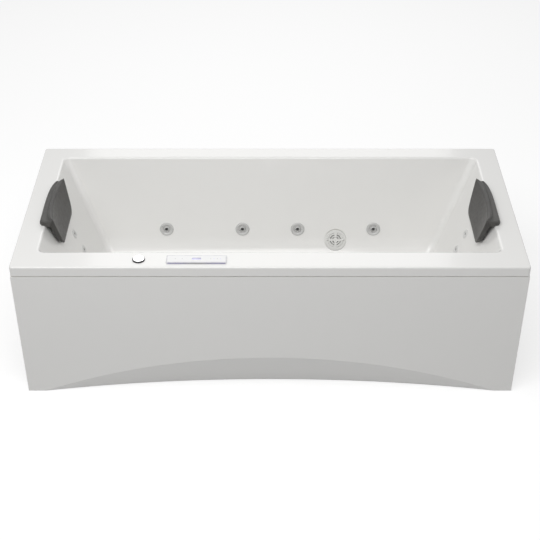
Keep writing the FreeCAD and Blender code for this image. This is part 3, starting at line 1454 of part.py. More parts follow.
def pump_volute():
    """Pump casing: drum with a chamber for the impeller, side outlet up and inlet to the back."""
    drum = turned("volute_drum", [
        ("shaft_r + shaft_gap", "0"),
        ("volute_r", "0"),
        ("volute_r", "volute_length - 6"),
        ("volute_r - 6", "volute_length"),
        ("suction_r + socket_wall", "volute_length"),
        ("suction_r + socket_wall", "volute_length + 30"),
        ("suction_r + glue_gap", "volute_length + 30"),
        ("suction_r + glue_gap", "volute_length + 30 - socket_depth"),
        ("suction_r - 4", "volute_length + 30 - socket_depth"),
        ("suction_r - 4", "volute_length - 8"),
        ("impeller_r + 6", "volute_length - 8"),
        ("impeller_r + 6", "8"),
        ("shaft_r + shaft_gap", "8"),
    ])
    centre = Vector(size("pump_out_offset"), 0, size("volute_length / 2"))
    spout = rod("volute_spout", "water_r + socket_wall", "volute_r + 14", along(centre, Vector(0, 1, 0)))
    chamber = rod("volute_keep", "impeller_r + 6", "volute_length - 16", at(0, 0, 8))
    spout = cut("volute_spout_cut", spout, chamber)
    socket = rod("volute_socket", "water_r + glue_gap", "40",
                 along(centre + Vector(0, size("volute_r + 14 - socket_depth"), 0), Vector(0, 1, 0)))
    form = cut("volute_form", fuse("volute_solid", drum, spout), socket)
    form.Placement = pump_axis()
    return form


def pump_rotor():
    """Shaft with the impeller at the back and the cooling fan at the front."""
    tail = "motor_length + fan_cover_len - 10"
    shaft = rod("pump_shaft", "shaft_r", f"{tail} + volute_length - 14", at(0, 0, -size(tail)))
    impeller = turned("impeller", [
        ("shaft_r", "14"),
        ("impeller_r", "14"),
        ("impeller_r", "18"),
        ("impeller_r - 2", "18"),
        ("impeller_r", "32"),
        ("impeller_r", "35"),
        ("18", "volute_length - 14"),
        ("shaft_r", "volute_length - 14"),
    ])
    fan = turned("fan_disc", [
        ("shaft_r", "-motor_length - 28"),
        ("14", "-motor_length - 28"),
        ("14", "-motor_length - 14"),
        ("motor_r - 12", "-motor_length - 12"),
        ("motor_r - 12", "-motor_length - 9"),
        ("shaft_r", "-motor_length - 9"),
    ])
    blades = []
    for i in range(7):
        turn = Placement(Vector(0, 0, 0), Rotation(Vector(0, 0, 1), 360.0 * i / 7))
        blades.append(slab(f"fan_blade_{i}", "motor_r - 26", "2", "14",
                           turn * at(12, -1, -size("motor_length") - 26)))
    form = bundle("rotor_form", shaft, impeller, fuse("fan_form", fan, *blades))
    form.Placement = pump_axis()
    return form


def shelves():
    """Pump shelf slung between the long rails, and a flat shelf for the control box."""
    rail_top = RAIL_Z + " + tube_side"
    inner = "rail_y - tube_side / 2 - 1"
    outer = "rail_y + tube_side / 2"
    profile = outline("sling_profile", "YZ", [
        (f"-({outer})", rail_top),
        (f"-({inner}) + plate_thick", rail_top),
        (f"-({inner}) + plate_thick", "shelf_height - plate_thick"),
        (f"{inner} - plate_thick", "shelf_height - plate_thick"),
        (f"{inner} - plate_thick", rail_top),
        (outer, rail_top),
        (outer, f"{rail_top} + plate_thick"),
        (f"{inner} - 2 * plate_thick", f"{rail_top} + plate_thick"),
        (f"{inner} - 2 * plate_thick", "shelf_height"),
        (f"-({inner}) + 2 * plate_thick", "shelf_height"),
        (f"-({inner}) + 2 * plate_thick", f"{rail_top} + plate_thick"),
        (f"-({outer})", f"{rail_top} + plate_thick"),
    ], Vector(PUMP_X, 0, 0))
    sling = extrude("sling", profile, Vector(1, 0, 0), "shelf_width", True)
    flat = block("control_shelf", "shelf_width", "2 * rail_y + tube_side", "plate_thick",
                 "-rail_length / 2", "-rail_y - tube_side / 2", rail_top)
    return bundle("shelves", sling, flat)


def control_box():
    """Sealed box with a soft-edged lid, on its shelf at the left end, its gland facing that end."""
    base_z = f"{RAIL_Z} + tube_side + plate_thick"
    x = "-rail_length / 2 + 10"
    body = block("box_body", "box_width", "box_length", "box_tall - 12", x, "-box_length / 2", base_z)
    lid = block("box_lid", "box_width + 4", "box_length + 4", "12",
                f"{x} - 2", "-box_length / 2 - 2", f"{base_z} + box_tall - 12")
    top = size(f"{base_z} + box_tall")
    lid = rounded("box_lid_soft", lid, [(upright_edge, "5"), (edge_at_height(top), "3")])
    out = Vector(-1, 0, 0)
    hole_at = Vector(size(x), 0, size(f"{base_z} + box_tall / 2 - 6"))
    hole = rod("box_hole", "gland_r - 3 + glue_gap", "20", along(hole_at - out * 12, out))
    box = cut("box_form", fuse("box_joined", body, lid), hole)
    gland = turned("gland_form", [
        ("gland_bore_r", "-10"),
        ("gland_r - 3", "-10"),
        ("gland_r - 3", "0"),
        ("gland_r", "0"),
        ("gland_r", "7"),
        ("gland_r - 1", "7"),
        ("gland_r - 1", "12"),
        ("gland_r - 3", "15"),
        ("gland_bore_r", "15"),
    ])
    gland.Placement = along(hole_at, out)
    return box, gland


# ----------------------------------------------------------------------------------------------
# Fixings
# ----------------------------------------------------------------------------------------------
def panel_brackets():
    """Angles: on the posts for the panel's top edge, and on the outer cross rails for its foot."""
    leg = "16"
    wall = "2"
    top = f"{PANEL_TOP} - panel_wall"
    inside = "-bath_width / 2 + panel_wall"
    upper = outline("bracket_upper_profile", "YZ", [
        (f"{inside}", top),
        (f"{inside}", f"{top} - {wall}"),
        (f"-frame_half_y - {wall}", f"{top} - {wall}"),
        (f"-frame_half_y - {wall}", f"{top} - {leg}"),
        ("-frame_half_y", f"{top} - {leg}"),
        ("-frame_half_y", top),
    ])
    upper_form = extrude("bracket_upper", upper, Vector(1, 0, 0), "20", True)
    return copies("panel_brackets_form", upper_form, [at(x, 0, 0) for x in CROSS_X])


def screw(label, head_r, shank_r, length):
    """Pan head screw: head on local +Z, shank below."""
    return turned(label, [
        ("0", f"-{length}"),
        (shank_r, f"-{length}"),
        (shank_r, "0"),
        (head_r, "0"),
        (head_r, "1.2"),
        (f"{head_r} * 0.6", "2.2"),
        ("0", "2.4"),
    ])


def build():
    """Make every sub-part and register it as a node."""
    node("tub_shell", tub_shell())
    node("floor_board", floor_board())
    node("frame_long_rails", long_rails())
    node("frame_cross_rails", cross_rails())
    node("frame_posts", bundle("posts_and_plates", uprights(), rim_plates()))
    node("frame_shelves", shelves())
    node("foot_nuts", foot_nuts())
    pad, stud = foot_pad(), foot_stud()
    for i, spot in enumerate(FOOT_SPOTS, start=1):
        node(f"foot_pad_{i}", copy_of(f"foot_pad_{i}", pad, Placement(spot, Rotation())))
        node(f"foot_stud_{i}", copy_of(f"foot_stud_{i}", stud, Placement(spot, Rotation())))

    node("front_panel", front_panel())
    node("panel_brackets", panel_brackets())

    node("jet_rings", copies("jet_ring_set", jet_ring(), JET_SEATS))
    node("jet_bodies", copies("jet_body_set", jet_body(), JET_SEATS))
    ball = jet_nozzle()
    centre = at(0, 0, -size("jet_ball_back"))
    for i, place in enumerate(JET_SEATS, start=1):
        node(f"jet_nozzle_{i}", copy_of(f"jet_nozzle_{i}", ball, place * centre))
    node("wall_gaskets", gaskets())
    node("micro_jet_faces", copies("micro_face_set", micro_face(), MICRO_SEATS))
    node("micro_jet_bodies", copies("micro_body_set", micro_body(), MICRO_SEATS))

    node("suction_body", copies("suction_body_set", suction_body(), [SUCTION_SEAT]))
    node("suction_cover", copies("suction_cover_set", suction_cover(), [SUCTION_SEAT]))
    fixing = screw("cover_screw", "3.6", "cover_screw_r", "18")
    spots = [SUCTION_SEAT * spot for spot in cover_screw_spots(4.6)]
    node("cover_screws", copies("cover_screw_set", fixing, spots))

    water_pipes, water_fittings = water_system()
    air_pipes, air_fittings, tee_mouth = air_system()
    suction_pipes, suction_fittings = suction_system()
    node("water_pipes", bundle("water_pipe_set", *water_pipes))
    node("air_pipes", bundle("air_pipe_set", *air_pipes))
    node("suction_pipes", bundle("suction_pipe_set", *suction_pipes))
    node("pipe_fittings", bundle("fitting_set", *water_fittings, *air_fittings, *suction_fittings))
    node("air_hose", air_hose(tee_mouth))

    node("drain_body", drain_body())
    node("drain_plug", drain_plug())
    trap, overflow_pipes = waste_system()
    node("waste_trap", trap)
    node("overflow_pipes", overflow_pipes)
    node("overflow_body", overflow_body())
    node("overflow_knob", overflow_knob())

    node("air_valve_body", air_valve())
    node("air_knob", air_knob())
    frame, face = keypad()
    node("keypad_housing", frame)
    node("keypad_face", face)

    right = pillow()
    node("pillow_right", right)
    mirror = add("Part::Mirroring", "pillow_mirror")
    mirror.Source = right
    mirror.Base = Vector(0, 0, 0)
    mirror.Normal = Vector(1, 0, 0)
    right.Placement = at(0, -size("pillow_y"), 0)
    node("pillow_left", mirror)

    node("pump_motor", pump_motor())
    node("pump_volute", pump_volute())
    node("pump_rotor", pump_rotor())
    box, gland = control_box()
    node("control_box", box)
    node("cable_gland", gland)


def check_and_write():
    """Recompute, stop on any failed object or bad shape, then write one STEP file per node."""
    DOC.recompute()
    failed = [obj.Label for obj in DOC.Objects if {"Invalid", "Error"} & set(obj.State)]
    if failed:
        raise RuntimeError(f"failed objects: {failed}")
    os.makedirs("parts", exist_ok=True)
    for name, obj in NODES.items():
        shape = shape_of(obj)
        if shape.isNull() or not shape.isValid() or not shape.Solids:
            raise RuntimeError(f"bad shape: {name}")
        shape.exportStep(os.path.join("parts", f"{name}.step"))
        print(f"{name}: {len(shape.Solids)} solids, {shape.Volume / 1000.0:.1f} cm3")


build()
check_and_write()
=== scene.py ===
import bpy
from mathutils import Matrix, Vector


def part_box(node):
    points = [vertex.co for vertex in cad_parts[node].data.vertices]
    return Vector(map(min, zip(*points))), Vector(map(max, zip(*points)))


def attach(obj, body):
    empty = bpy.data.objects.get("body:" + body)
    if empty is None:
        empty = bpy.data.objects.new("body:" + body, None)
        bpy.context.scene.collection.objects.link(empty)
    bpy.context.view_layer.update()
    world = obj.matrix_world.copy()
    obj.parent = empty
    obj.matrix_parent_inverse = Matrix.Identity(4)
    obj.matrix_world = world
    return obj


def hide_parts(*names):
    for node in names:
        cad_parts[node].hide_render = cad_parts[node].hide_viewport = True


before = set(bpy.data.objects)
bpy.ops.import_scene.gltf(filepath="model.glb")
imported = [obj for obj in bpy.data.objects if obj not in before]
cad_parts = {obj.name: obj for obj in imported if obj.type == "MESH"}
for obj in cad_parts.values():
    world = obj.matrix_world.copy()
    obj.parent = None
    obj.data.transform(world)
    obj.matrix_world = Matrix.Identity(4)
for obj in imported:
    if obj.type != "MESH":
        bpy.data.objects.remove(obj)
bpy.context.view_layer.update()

import logging
import math
from dataclasses import dataclass, field
from enum import Enum
from typing import Iterable, Optional, Union

import bmesh
import bpy
from mathutils import Vector

# A jetted bathtub. The imported solids get their finishes, two moulded headrests stand in for
# theirs, the deck's keypad gets the small pieces that the solids leave out, and the micro jets get
# dark rings of painted shade in their bores.

LOG = logging.getLogger("jetted_bath")

Colour = tuple[float, float, float]
Point = tuple[float, float, float]
Spot = tuple[float, float]
Socket = bpy.types.NodeSocket
Value = Union[float, tuple, Socket]
Owner = Union[bpy.types.Material, bpy.types.World]
Ring = list[bmesh.types.BMVert]

ROOT = "bath"
PURE_WHITE: Colour = (1.0, 1.0, 1.0)


# ---------------------------------------------------------------------------------------------
# Sizes that the fittings share with the solids, in metres and radians
# ---------------------------------------------------------------------------------------------
@dataclass(frozen=True)
class BathSizes:
    """Sizes of the bath that its dressing is set out from."""

    deck: float = 0.575
    end_rim: float = 0.815
    end_lean: float = math.radians(21.4)

    def wall_x(self, drop: float) -> float:
        """Distance of an end wall from the middle, at a drop below the deck."""
        return self.end_rim - drop * math.tan(self.end_lean)


BATH = BathSizes()


class End(Enum):
    """The two ends of the bath, by the sign of x."""

    LEFT = -1
    RIGHT = 1


class Slot(Enum):
    """Names of material slots, which no piece in this script is given."""

    PILLOW = "pillow"
    KEYPAD_FACE = "keypad_face"
    KEYPAD_TRIM = "keypad_trim"
    NOZZLE = "nozzle"


class Grain(Enum):
    """Surface patterns that a finish can carry."""

    SMOOTH = "smooth"
    HIDE = "hide"
    BRUSHED = "brushed"
    POWDER = "powder"
    CHIPS = "chips"
    RIBBED = "ribbed"


# ---------------------------------------------------------------------------------------------
# Node trees
# ---------------------------------------------------------------------------------------------
class Graph:
    """Node tree of a material or of the sky, with short calls to add and join nodes."""

    def __init__(self, owner: Owner) -> None:
        """Start an empty tree.

        Args:
            owner: the material or the world that the tree belongs to.
        """
        owner.use_nodes = True
        self.owner = owner
        self.tree = owner.node_tree
        self.tree.nodes.clear()

    def add(self, kind: str, inputs: Optional[dict] = None, **settings: object) -> bpy.types.Node:
        """Add a node.

        Args:
            kind: node type.
            inputs: constants or output sockets, by input name or index.
            settings: properties of the node.

        Returns:
            The new node.
        """
        made = self.tree.nodes.new(kind)
        for key, value in settings.items():
            setattr(made, key, value)
        for key, value in (inputs or {}).items():
            self.feed(made.inputs[key], value)
        return made

    def feed(self, socket: Socket, value: Value) -> None:
        """Join an output to a socket, or set the socket's constant.

        Args:
            socket: the input to feed.
            value: an output socket or a constant.
        """
        if isinstance(value, bpy.types.NodeSocket):
            self.tree.links.new(value, socket)
        else:
            socket.default_value = value

    def math(self, operation: str, first: Value, second: Value = 0.0) -> Socket:
        """Output of a math node on two values or sockets."""
        return self.add("ShaderNodeMath", {0: first, 1: second}, operation=operation).outputs[0]

    def vector_math(self, operation: str, first: Value, second: Value) -> bpy.types.Node:
        """Vector math node on two vectors or sockets."""
        return self.add("ShaderNodeVectorMath", {0: first, 1: second}, operation=operation)

    def axis(self, vector: Socket, number: int) -> Socket:
        """One part of a vector: 0 for x, 1 for y, 2 for z."""
        return self.add("ShaderNodeSeparateXYZ", {0: vector}).outputs[number]

    def band(self, value: Value, low: float, high: float, start: float = 0.0,
             end: float = 1.0) -> Socket:
        """Value moved from one range into another, without overshoot.

        Args:
            value: the value or socket.
            low: the value that gives start.
            high: the value that gives end.
            start: result at the low end.
            end: result at the high end.

        Returns:
            The result's socket.
        """
        made = self.add("ShaderNodeMapRange", {
            "Value": value, "From Min": low, "From Max": high, "To Min": start, "To Max": end})
        made.clamp = True
        return made.outputs["Result"]

    def mix(self, share: Value, first: Value, second: Value) -> Socket:
        """Colour between two colours.

        Args:
            share: how much of the second colour there is.
            first: colour at a share of nothing.
            second: colour at a share of one.

        Returns:
            The colour's socket.
        """
        made = self.add("ShaderNodeMix", data_type="RGBA")
        self.feed(made.inputs["Factor"], share)
        for name, value in (("A", first), ("B", second)):
            self.feed(next(s for s in made.inputs if s.name == name and s.type == "RGBA"), value)
        return next(s for s in made.outputs if s.type == "RGBA")

    def place(self, stretch: Point = (1.0, 1.0, 1.0)) -> Socket:
        """Object coordinates.

        Args:
            stretch: what each axis is multiplied by.

        Returns:
            The coordinates' socket.
        """
        spot = self.add("ShaderNodeTexCoord").outputs["Object"]
        if stretch == (1.0, 1.0, 1.0):
            return spot
        return self.add("ShaderNodeMapping", {"Vector": spot, "Scale": stretch}).outputs[0]

    def noise(self, spot: Socket, scale: float, detail: float = 2.0, rough: float = 0.5) -> Socket:
        """Noise value, about 0.5 in the middle.

        Args:
            spot: coordinates that it is read at.
            scale: its frequency.
            detail: rounds of finer noise.
            rough: weight of the finer noise.

        Returns:
            The value's socket.
        """
        return self.add("ShaderNodeTexNoise", {
            "Vector": spot, "Scale": scale, "Detail": detail, "Roughness": rough}).outputs[0]

    def bump(self, height: Socket, depth: float, under: Optional[Socket] = None) -> Socket:
        """Normal bent by a height.

        Args:
            height: the pattern's height, from 0 to 1.
            depth: how deep its full swing is, in metres.
            under: normal that it bends further.

        Returns:
            The normal's socket.
        """
        made = self.add("ShaderNodeBump", {"Height": height, "Distance": depth, "Strength": 1.0})
        if under is not None:
            self.feed(made.inputs["Normal"], under)
        return made.outputs[0]

    def seen(self) -> Socket:
        """One where the camera, a mirror or clear plastic shows a thing, else nothing.

        Returns:
            The value's socket.
        """
        path = self.add("ShaderNodeLightPath").outputs
        mirrored = self.math("MAXIMUM", path["Is Glossy Ray"], path["Is Transmission Ray"])
        return self.math("MAXIMUM", path["Is Camera Ray"], mirrored)

    def finish(self, surface: Socket, output: str = "ShaderNodeOutputMaterial") -> Owner:
        """Join the surface to an output node and hand over the tree's owner."""
        self.add(output, {"Surface": surface})
        return self.owner


def rgba(colour: Colour, gain: float = 1.0) -> tuple[float, ...]:
    """Colour with an alpha of one, brightened by a gain."""
    return tuple(min(part * gain, 1.0) for part in colour) + (1.0,)


# ---------------------------------------------------------------------------------------------
# Finishes
# ---------------------------------------------------------------------------------------------
# Values of a noise between which its effect runs from nothing to all.
NOISE_RANGE = (0.3, 0.7)
# A hide's height: its folds are larger than its cells, and each has its weight.
FOLD_SCALE, CELL_WEIGHT, FOLD_WEIGHT = 0.35, 0.7, 0.5
# Rounds of finer noise in a fine pattern, in slow unevenness and in a smooth pattern.
FINE_DETAIL, SLOW_DETAIL, SMOOTH_DETAIL = 6.0, 3.0, 1.0
# The gloss varies over smaller patches than the colour, by this factor.
GLOSS_SCALE = 3.0
# How much darker the hollows of a pattern are, the heights between which the shade fades, and
# how much of the plain colour its tops have.
PATTERN_SHADE = {Grain.HIDE: 0.12, Grain.CHIPS: 0.55, Grain.BRUSHED: 0.10}
SHADE_RANGE = (0.2, 0.8)
TOP_SHARE = 0.7


@dataclass(frozen=True)
class Finish:
    """One real surface: its colour, gloss, small unevenness and pattern."""

    name: str
    colour: Colour
    roughness: float
    metallic: float = 0.0
    coat: float = 0.0
    coat_roughness: float = 0.04
    index: float = 1.5
    sheen: float = 0.0
    mottle: float = 0.02
    mottle_scale: float = 14.0
    gloss_spread: float = 0.04
    least_roughness: float = 0.02
    grain: Grain = Grain.SMOOTH
    grain_scale: float = 60.0
    grain_depth: float = 0.00004
    stretch: Point = (1.0, 1.0, 1.0)

    def pattern(self, graph: Graph) -> Socket:
        """Height of the surface pattern, from 0 to 1.

        Args:
            graph: the tree that it is added to.

        Returns:
            The height's socket.
        """
        spot = graph.place(self.stretch)
        at_scale = {"Vector": spot, "Scale": self.grain_scale}
        if self.grain is Grain.HIDE:
            cells = graph.add("ShaderNodeTexVoronoi", at_scale, feature="SMOOTH_F1")
            folds = graph.noise(spot, self.grain_scale * FOLD_SCALE, SLOW_DETAIL)
            return graph.math("ADD", graph.math("MULTIPLY", cells.outputs["Distance"], CELL_WEIGHT),
                              graph.math("MULTIPLY", folds, FOLD_WEIGHT))
        if self.grain is Grain.CHIPS:
            cells = graph.add("ShaderNodeTexVoronoi", at_scale)
            return graph.add("ShaderNodeSeparateColor", {0: cells.outputs["Color"]}).outputs[0]
        if self.grain is Grain.RIBBED:
            return graph.add("ShaderNodeTexWave", {**at_scale, "Distortion": 0.0}).outputs[1]
        fine = self.grain in (Grain.BRUSHED, Grain.POWDER)
        return graph.noise(spot, self.grain_scale, FINE_DETAIL if fine else SMOOTH_DETAIL)

    def tint(self, graph: Graph, height: Socket) -> Socket:
        """Colour with its slow unevenness, and with the pattern's own shade.

        Args:
            graph: the tree that it is added to.
            height: height of the surface pattern.

        Returns:
            The colour's socket.
        """
        slow = graph.noise(graph.place(), self.mottle_scale, SLOW_DETAIL)
        shade = graph.band(slow, *NOISE_RANGE)
        tone = graph.mix(shade, rgba(self.colour, 1.0 - self.mottle),
                         rgba(self.colour, 1.0 + self.mottle))
        if self.grain in PATTERN_SHADE:
            dark = rgba(self.colour, 1.0 - PATTERN_SHADE[self.grain])
            tone = graph.mix(graph.band(height, *SHADE_RANGE, 0.0, TOP_SHARE), dark, tone)
        return tone

    def material(self) -> bpy.types.Material:
        """Build the finish's material.

        Returns:
            The material, with its colour, gloss and bump from nodes.
        """
        graph = Graph(bpy.data.materials.new(self.name))
        height = self.pattern(graph)
        patches = graph.noise(graph.place(), self.mottle_scale * GLOSS_SCALE)
        gloss = graph.band(patches, *NOISE_RANGE,
                           max(self.roughness - self.gloss_spread, self.least_roughness),
                           min(self.roughness + self.gloss_spread, 1.0))
        shader = graph.add("ShaderNodeBsdfPrincipled", {
            "Base Color": self.tint(graph, height),
            "Roughness": gloss,
            "Metallic": self.metallic,
            "IOR": self.index,
            "Coat Weight": self.coat,
            "Coat Roughness": self.coat_roughness,
            "Sheen Weight": self.sheen,
            "Normal": graph.bump(height, self.grain_depth)})
        return graph.finish(shader.outputs[0])


@dataclass(frozen=True)
class ShellFinish(Finish):
    """Glossy acrylic where the bather sees it, and glass-fibre laminate on the hidden side."""

    inside: Point = (0.0, 0.0095, 0.62)
    hidden_below: float = 0.5365
    facing_down: float = -0.6
    laminate: Colour = (0.78, 0.75, 0.66)
    laminate_roughness: float = 0.58
    laminate_depth: float = 0.0012
    strand_stretches: tuple[Point, Point] = ((90.0, 14.0, 60.0), (14.0, 90.0, 40.0))
    strand_scale: float = 4.0
    strand_detail: float = 8.0
    strand_rough: float = 0.7
    strand_range: Spot = (0.45, 0.75)
    strand_shades: Spot = (0.82, 1.12)
    pool_scale: float = 6.0
    pool_detail: float = 4.0
    pool_range: Spot = (0.35, 0.65)
    pool_share: float = 0.35
    pool_shade: float = 0.92

    def hidden_side(self, graph: Graph) -> Socket:
        """One on the surfaces that face away from the basin, nothing on the others.

        Args:
            graph: the tree that it is added to.

        Returns:
            The value's socket.
        """
        form = graph.add("ShaderNodeNewGeometry").outputs
        away = graph.vector_math("SUBTRACT", form["Position"], self.inside).outputs[0]
        facing = graph.vector_math("DOT_PRODUCT", form["True Normal"], away).outputs["Value"]
        low = graph.math("LESS_THAN", graph.axis(form["Position"], 2), self.hidden_below)
        down = graph.math("LESS_THAN", graph.axis(form["True Normal"], 2), self.facing_down)
        outside = graph.math("MULTIPLY", graph.math("GREATER_THAN", facing, 0.0), low)
        return graph.math("MAXIMUM", outside, down)

    def resin(self, graph: Graph, strands: Socket) -> Socket:
        """Colour of the laminate, with its strands and its pools of resin.

        Args:
            graph: the tree that it is added to.
            strands: height of the glass strands.

        Returns:
            The colour's socket.
        """
        dark, pale = (rgba(self.laminate, shade) for shade in self.strand_shades)
        tone = graph.mix(graph.band(strands, *self.strand_range), dark, pale)
        pools = graph.noise(graph.place(), self.pool_scale, self.pool_detail)
        return graph.mix(graph.band(pools, *self.pool_range, 0.0, self.pool_share), tone,
                         rgba(self.laminate, self.pool_shade))

    def material(self) -> bpy.types.Material:
        """Build the two-sided material of the moulded shell.

        Returns:
            The material.
        """
        graph = Graph(bpy.data.materials.new(self.name))
        hidden = self.hidden_side(graph)
        peel = self.pattern(graph)
        strands = graph.math("MAXIMUM", *(
            graph.noise(graph.place(stretch), self.strand_scale, self.strand_detail,
                        self.strand_rough)
            for stretch in self.strand_stretches))
        shader = graph.add("ShaderNodeBsdfPrincipled", {
            "Base Color": graph.mix(hidden, self.tint(graph, peel), self.resin(graph, strands)),
            "Roughness": graph.band(hidden, 0.0, 1.0, self.roughness, self.laminate_roughness),
            "IOR": self.index,
            "Coat Weight": self.coat,
            "Coat Roughness": self.coat_roughness,
            "Normal": graph.bump(graph.math("MULTIPLY", strands, hidden), self.laminate_depth,
                                 graph.bump(peel, self.grain_depth))})
        return graph.finish(shader.outputs[0])


@dataclass(frozen=True)
class BarFinish(Finish):
    """Lit bar whose violet glow fades to grey in its middle."""

    middle: Colour = (0.17, 0.17, 0.18)
    centre_x: float = -0.2545
    fade: Spot = (0.015, 0.060)

    def tint(self, graph: Graph, height: Socket) -> Socket:
        """Violet at both ends and grey in the middle.

        Args:
            graph: the tree that it is added to.
            height: height of the surface pattern.

        Returns:
            The colour's socket.
        """
        along = graph.math("SUBTRACT", graph.axis(graph.place(), 0), self.centre_x)
        share = graph.band(graph.math("ABSOLUTE", along), *self.fade)
        return graph.mix(share, rgba(self.middle), super().tint(graph, height))


@dataclass(frozen=True)
class KnobFinish(Finish):
    """Chrome top, with a painted dark reflection on the upright side."""

    # Near-black on the knob's upright side is a painted dark reflection in the chrome.
    painted_dark_reflection: Colour = (0.020, 0.020, 0.022)
    top_slope: Spot = (0.80, 0.92)

    def tint(self, graph: Graph, height: Socket) -> Socket:
        """Painted dark reflection where the surface stands upright, chrome where it faces up.

        Args:
            graph: the tree that it is added to.
            height: height of the surface pattern.

        Returns:
            The colour's socket.
        """
        up = graph.axis(graph.add("ShaderNodeNewGeometry").outputs["True Normal"], 2)
        share = graph.band(up, *self.top_slope)
        return graph.mix(share, rgba(self.painted_dark_reflection), super().tint(graph, height))


WHITE: Colour = (0.860, 0.855, 0.838)

SHELL = ShellFinish("glossy_acrylic", WHITE, 0.16, coat=0.25, mottle=0.0, mottle_scale=3.0,
                    grain_scale=28.0, grain_depth=0.00002)
PANEL = Finish("panel_acrylic", WHITE, 0.26, coat=0.15, mottle=0.0, mottle_scale=2.5,
               gloss_spread=0.0, grain_scale=26.0, grain_depth=0.00002)
TRIM = Finish("light_grey_trim", (0.66, 0.66, 0.65), 0.30, coat=0.3, mottle=0.03)
RING = Finish("grey_ring", (0.57, 0.57, 0.56), 0.30, coat=0.3, mottle=0.03)
COVER = Finish("pale_cover", (0.76, 0.76, 0.74), 0.34, coat=0.2)
EYEBALL = Finish("grey_eyeball", (0.50, 0.50, 0.49), 0.34, coat=0.2, mottle=0.05)
MICRO_BODY = Finish("grey_moulded", (0.10, 0.10, 0.10), 0.45, mottle=0.04, mottle_scale=30.0)
MOULDED = Finish("moulded_white", (0.78, 0.78, 0.76), 0.42, mottle=0.03, mottle_scale=30.0)
PIPE = Finish("extruded_white", (0.82, 0.82, 0.80), 0.33, mottle_scale=20.0, grain_scale=500.0,
              grain_depth=0.00001)
WASTE = Finish("waste_plastic", (0.70, 0.71, 0.71), 0.48, mottle=0.03, grain=Grain.POWDER,
               grain_scale=900.0, grain_depth=0.00003)
CHROME = Finish("polished_chrome", (0.86, 0.86, 0.87), 0.06, metallic=1.0, mottle=0.01,
                gloss_spread=0.02, grain_depth=0.000005)
ZINC = Finish("bright_zinc", (0.62, 0.62, 0.60), 0.34, metallic=1.0, mottle=0.08,
              mottle_scale=90.0, grain=Grain.BRUSHED, grain_scale=260.0, grain_depth=0.00002,
              stretch=(1.0, 1.0, 6.0))
FRAME_PAINT = Finish("grey_powder_coat", (0.42, 0.43, 0.44), 0.46, mottle=0.04,
                     grain=Grain.POWDER, grain_scale=700.0, grain_depth=0.00006)
BOARD = Finish("particle_board", (0.62, 0.45, 0.27), 0.72, mottle=0.10, mottle_scale=30.0,
               grain=Grain.CHIPS, grain_scale=320.0, grain_depth=0.0001)
# Near-black for the micro jets' bores: painted shade that stands in for the shade inside them.
BORE_SHADE = Finish("painted_bore_shade", (0.03, 0.03, 0.03), 0.50, mottle=0.10, mottle_scale=200.0)
RUBBER = Finish("black_rubber", (0.025, 0.025, 0.026), 0.70, mottle=0.10, mottle_scale=80.0,
                grain=Grain.POWDER, grain_scale=1200.0, grain_depth=0.00005)
HOSE = Finish("pale_hose", (0.55, 0.60, 0.62), 0.35, mottle=0.04, grain=Grain.RIBBED,
              grain_depth=0.0008, stretch=(0.0, 0.0, 1.0))
MOTOR_PAINT = Finish("motor_paint", (0.055, 0.060, 0.070), 0.40, coat=0.15, mottle=0.08,
                     grain=Grain.POWDER, grain_scale=800.0, grain_depth=0.00006)
PUMP_PLASTIC = Finish("filled_plastic", (0.028, 0.028, 0.030), 0.52, mottle=0.10,
                      mottle_scale=60.0, grain=Grain.POWDER, grain_scale=1500.0)
BOX_PLASTIC = Finish("box_plastic", (0.52, 0.53, 0.52), 0.50, mottle=0.03, grain=Grain.POWDER,
                     grain_scale=1000.0, grain_depth=0.00005)
NYLON = Finish("black_nylon", (0.03, 0.03, 0.03), 0.45, mottle=0.08, grain_scale=300.0)
SKIN = Finish("headrest_skin", (0.068, 0.066, 0.062), 0.46, mottle=0.05, mottle_scale=25.0,
              gloss_spread=0.06, index=1.40, sheen=0.05, grain=Grain.HIDE, grain_scale=900.0,
              grain_depth=0.00008)
KEYPAD_TRIM = Finish("satin_silver", (0.66, 0.66, 0.68), 0.28, coat=0.4, mottle=0.01)
KEYPAD_FILM = Finish("keypad_film", (0.80, 0.80, 0.80), 0.14, coat=0.5, mottle=0.01,
                     mottle_scale=60.0)
KEYPAD_GLOW = BarFinish("violet_light_bar", (0.17, 0.15, 0.36), 0.30, coat=0.1, mottle=0.05,
                        mottle_scale=22.0)
DISPLAY = Finish("display_window", (0.72, 0.70, 0.98), 0.10, coat=0.6, mottle=0.03,
                 mottle_scale=70.0)
KEY_MARK = Finish("key_print", (0.52, 0.52, 0.54), 0.35)
KNOB = KnobFinish("chrome_knob", (0.90, 0.90, 0.90), 0.07, metallic=1.0, mottle=0.01,
                  gloss_spread=0.02, grain_depth=0.000005)


class Wardrobe:
    """Keeps one material for each finish."""

    def __init__(self) -> None:
        """Start with no materials."""
        self.made: dict[str, bpy.types.Material] = {}

    def get(self, finish: Finish) -> bpy.types.Material:
        """Material of a finish, built when it is first asked for.

        Args:
            finish: the finish.

        Returns:
            Its material.
        """
        if finish.name not in self.made:
            self.made[finish.name] = finish.material()
        return self.made[finish.name]

    def dress(self, piece: bpy.types.Object, finish: Finish) -> None:
        """Put a finish on every slot of a piece.

        Args:
            piece: the piece.
            finish: its finish.
        """
        material = self.get(finish)
        if piece.material_slots:
            for slot in piece.material_slots:
                slot.material = material
        else:
            piece.data.materials.append(material)


WARDROBE = Wardrobe()


# ---------------------------------------------------------------------------------------------
# Solids that stay in view
# ---------------------------------------------------------------------------------------------
@dataclass(frozen=True)
class Solids:
    """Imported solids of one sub-assembly, by node name without its number, and their finishes."""

    finishes: dict[str, Finish]

    def dress(self) -> list[bpy.types.Object]:
        """Give each solid its finish.

        Returns:
            The dressed solids.
        """
        dressed = []
        for name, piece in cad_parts.items():
            finish = self.finishes.get(name.rstrip("_0123456789"))
            if finish is not None:
                WARDROBE.dress(piece, finish)
                dressed.append(piece)
        return dressed


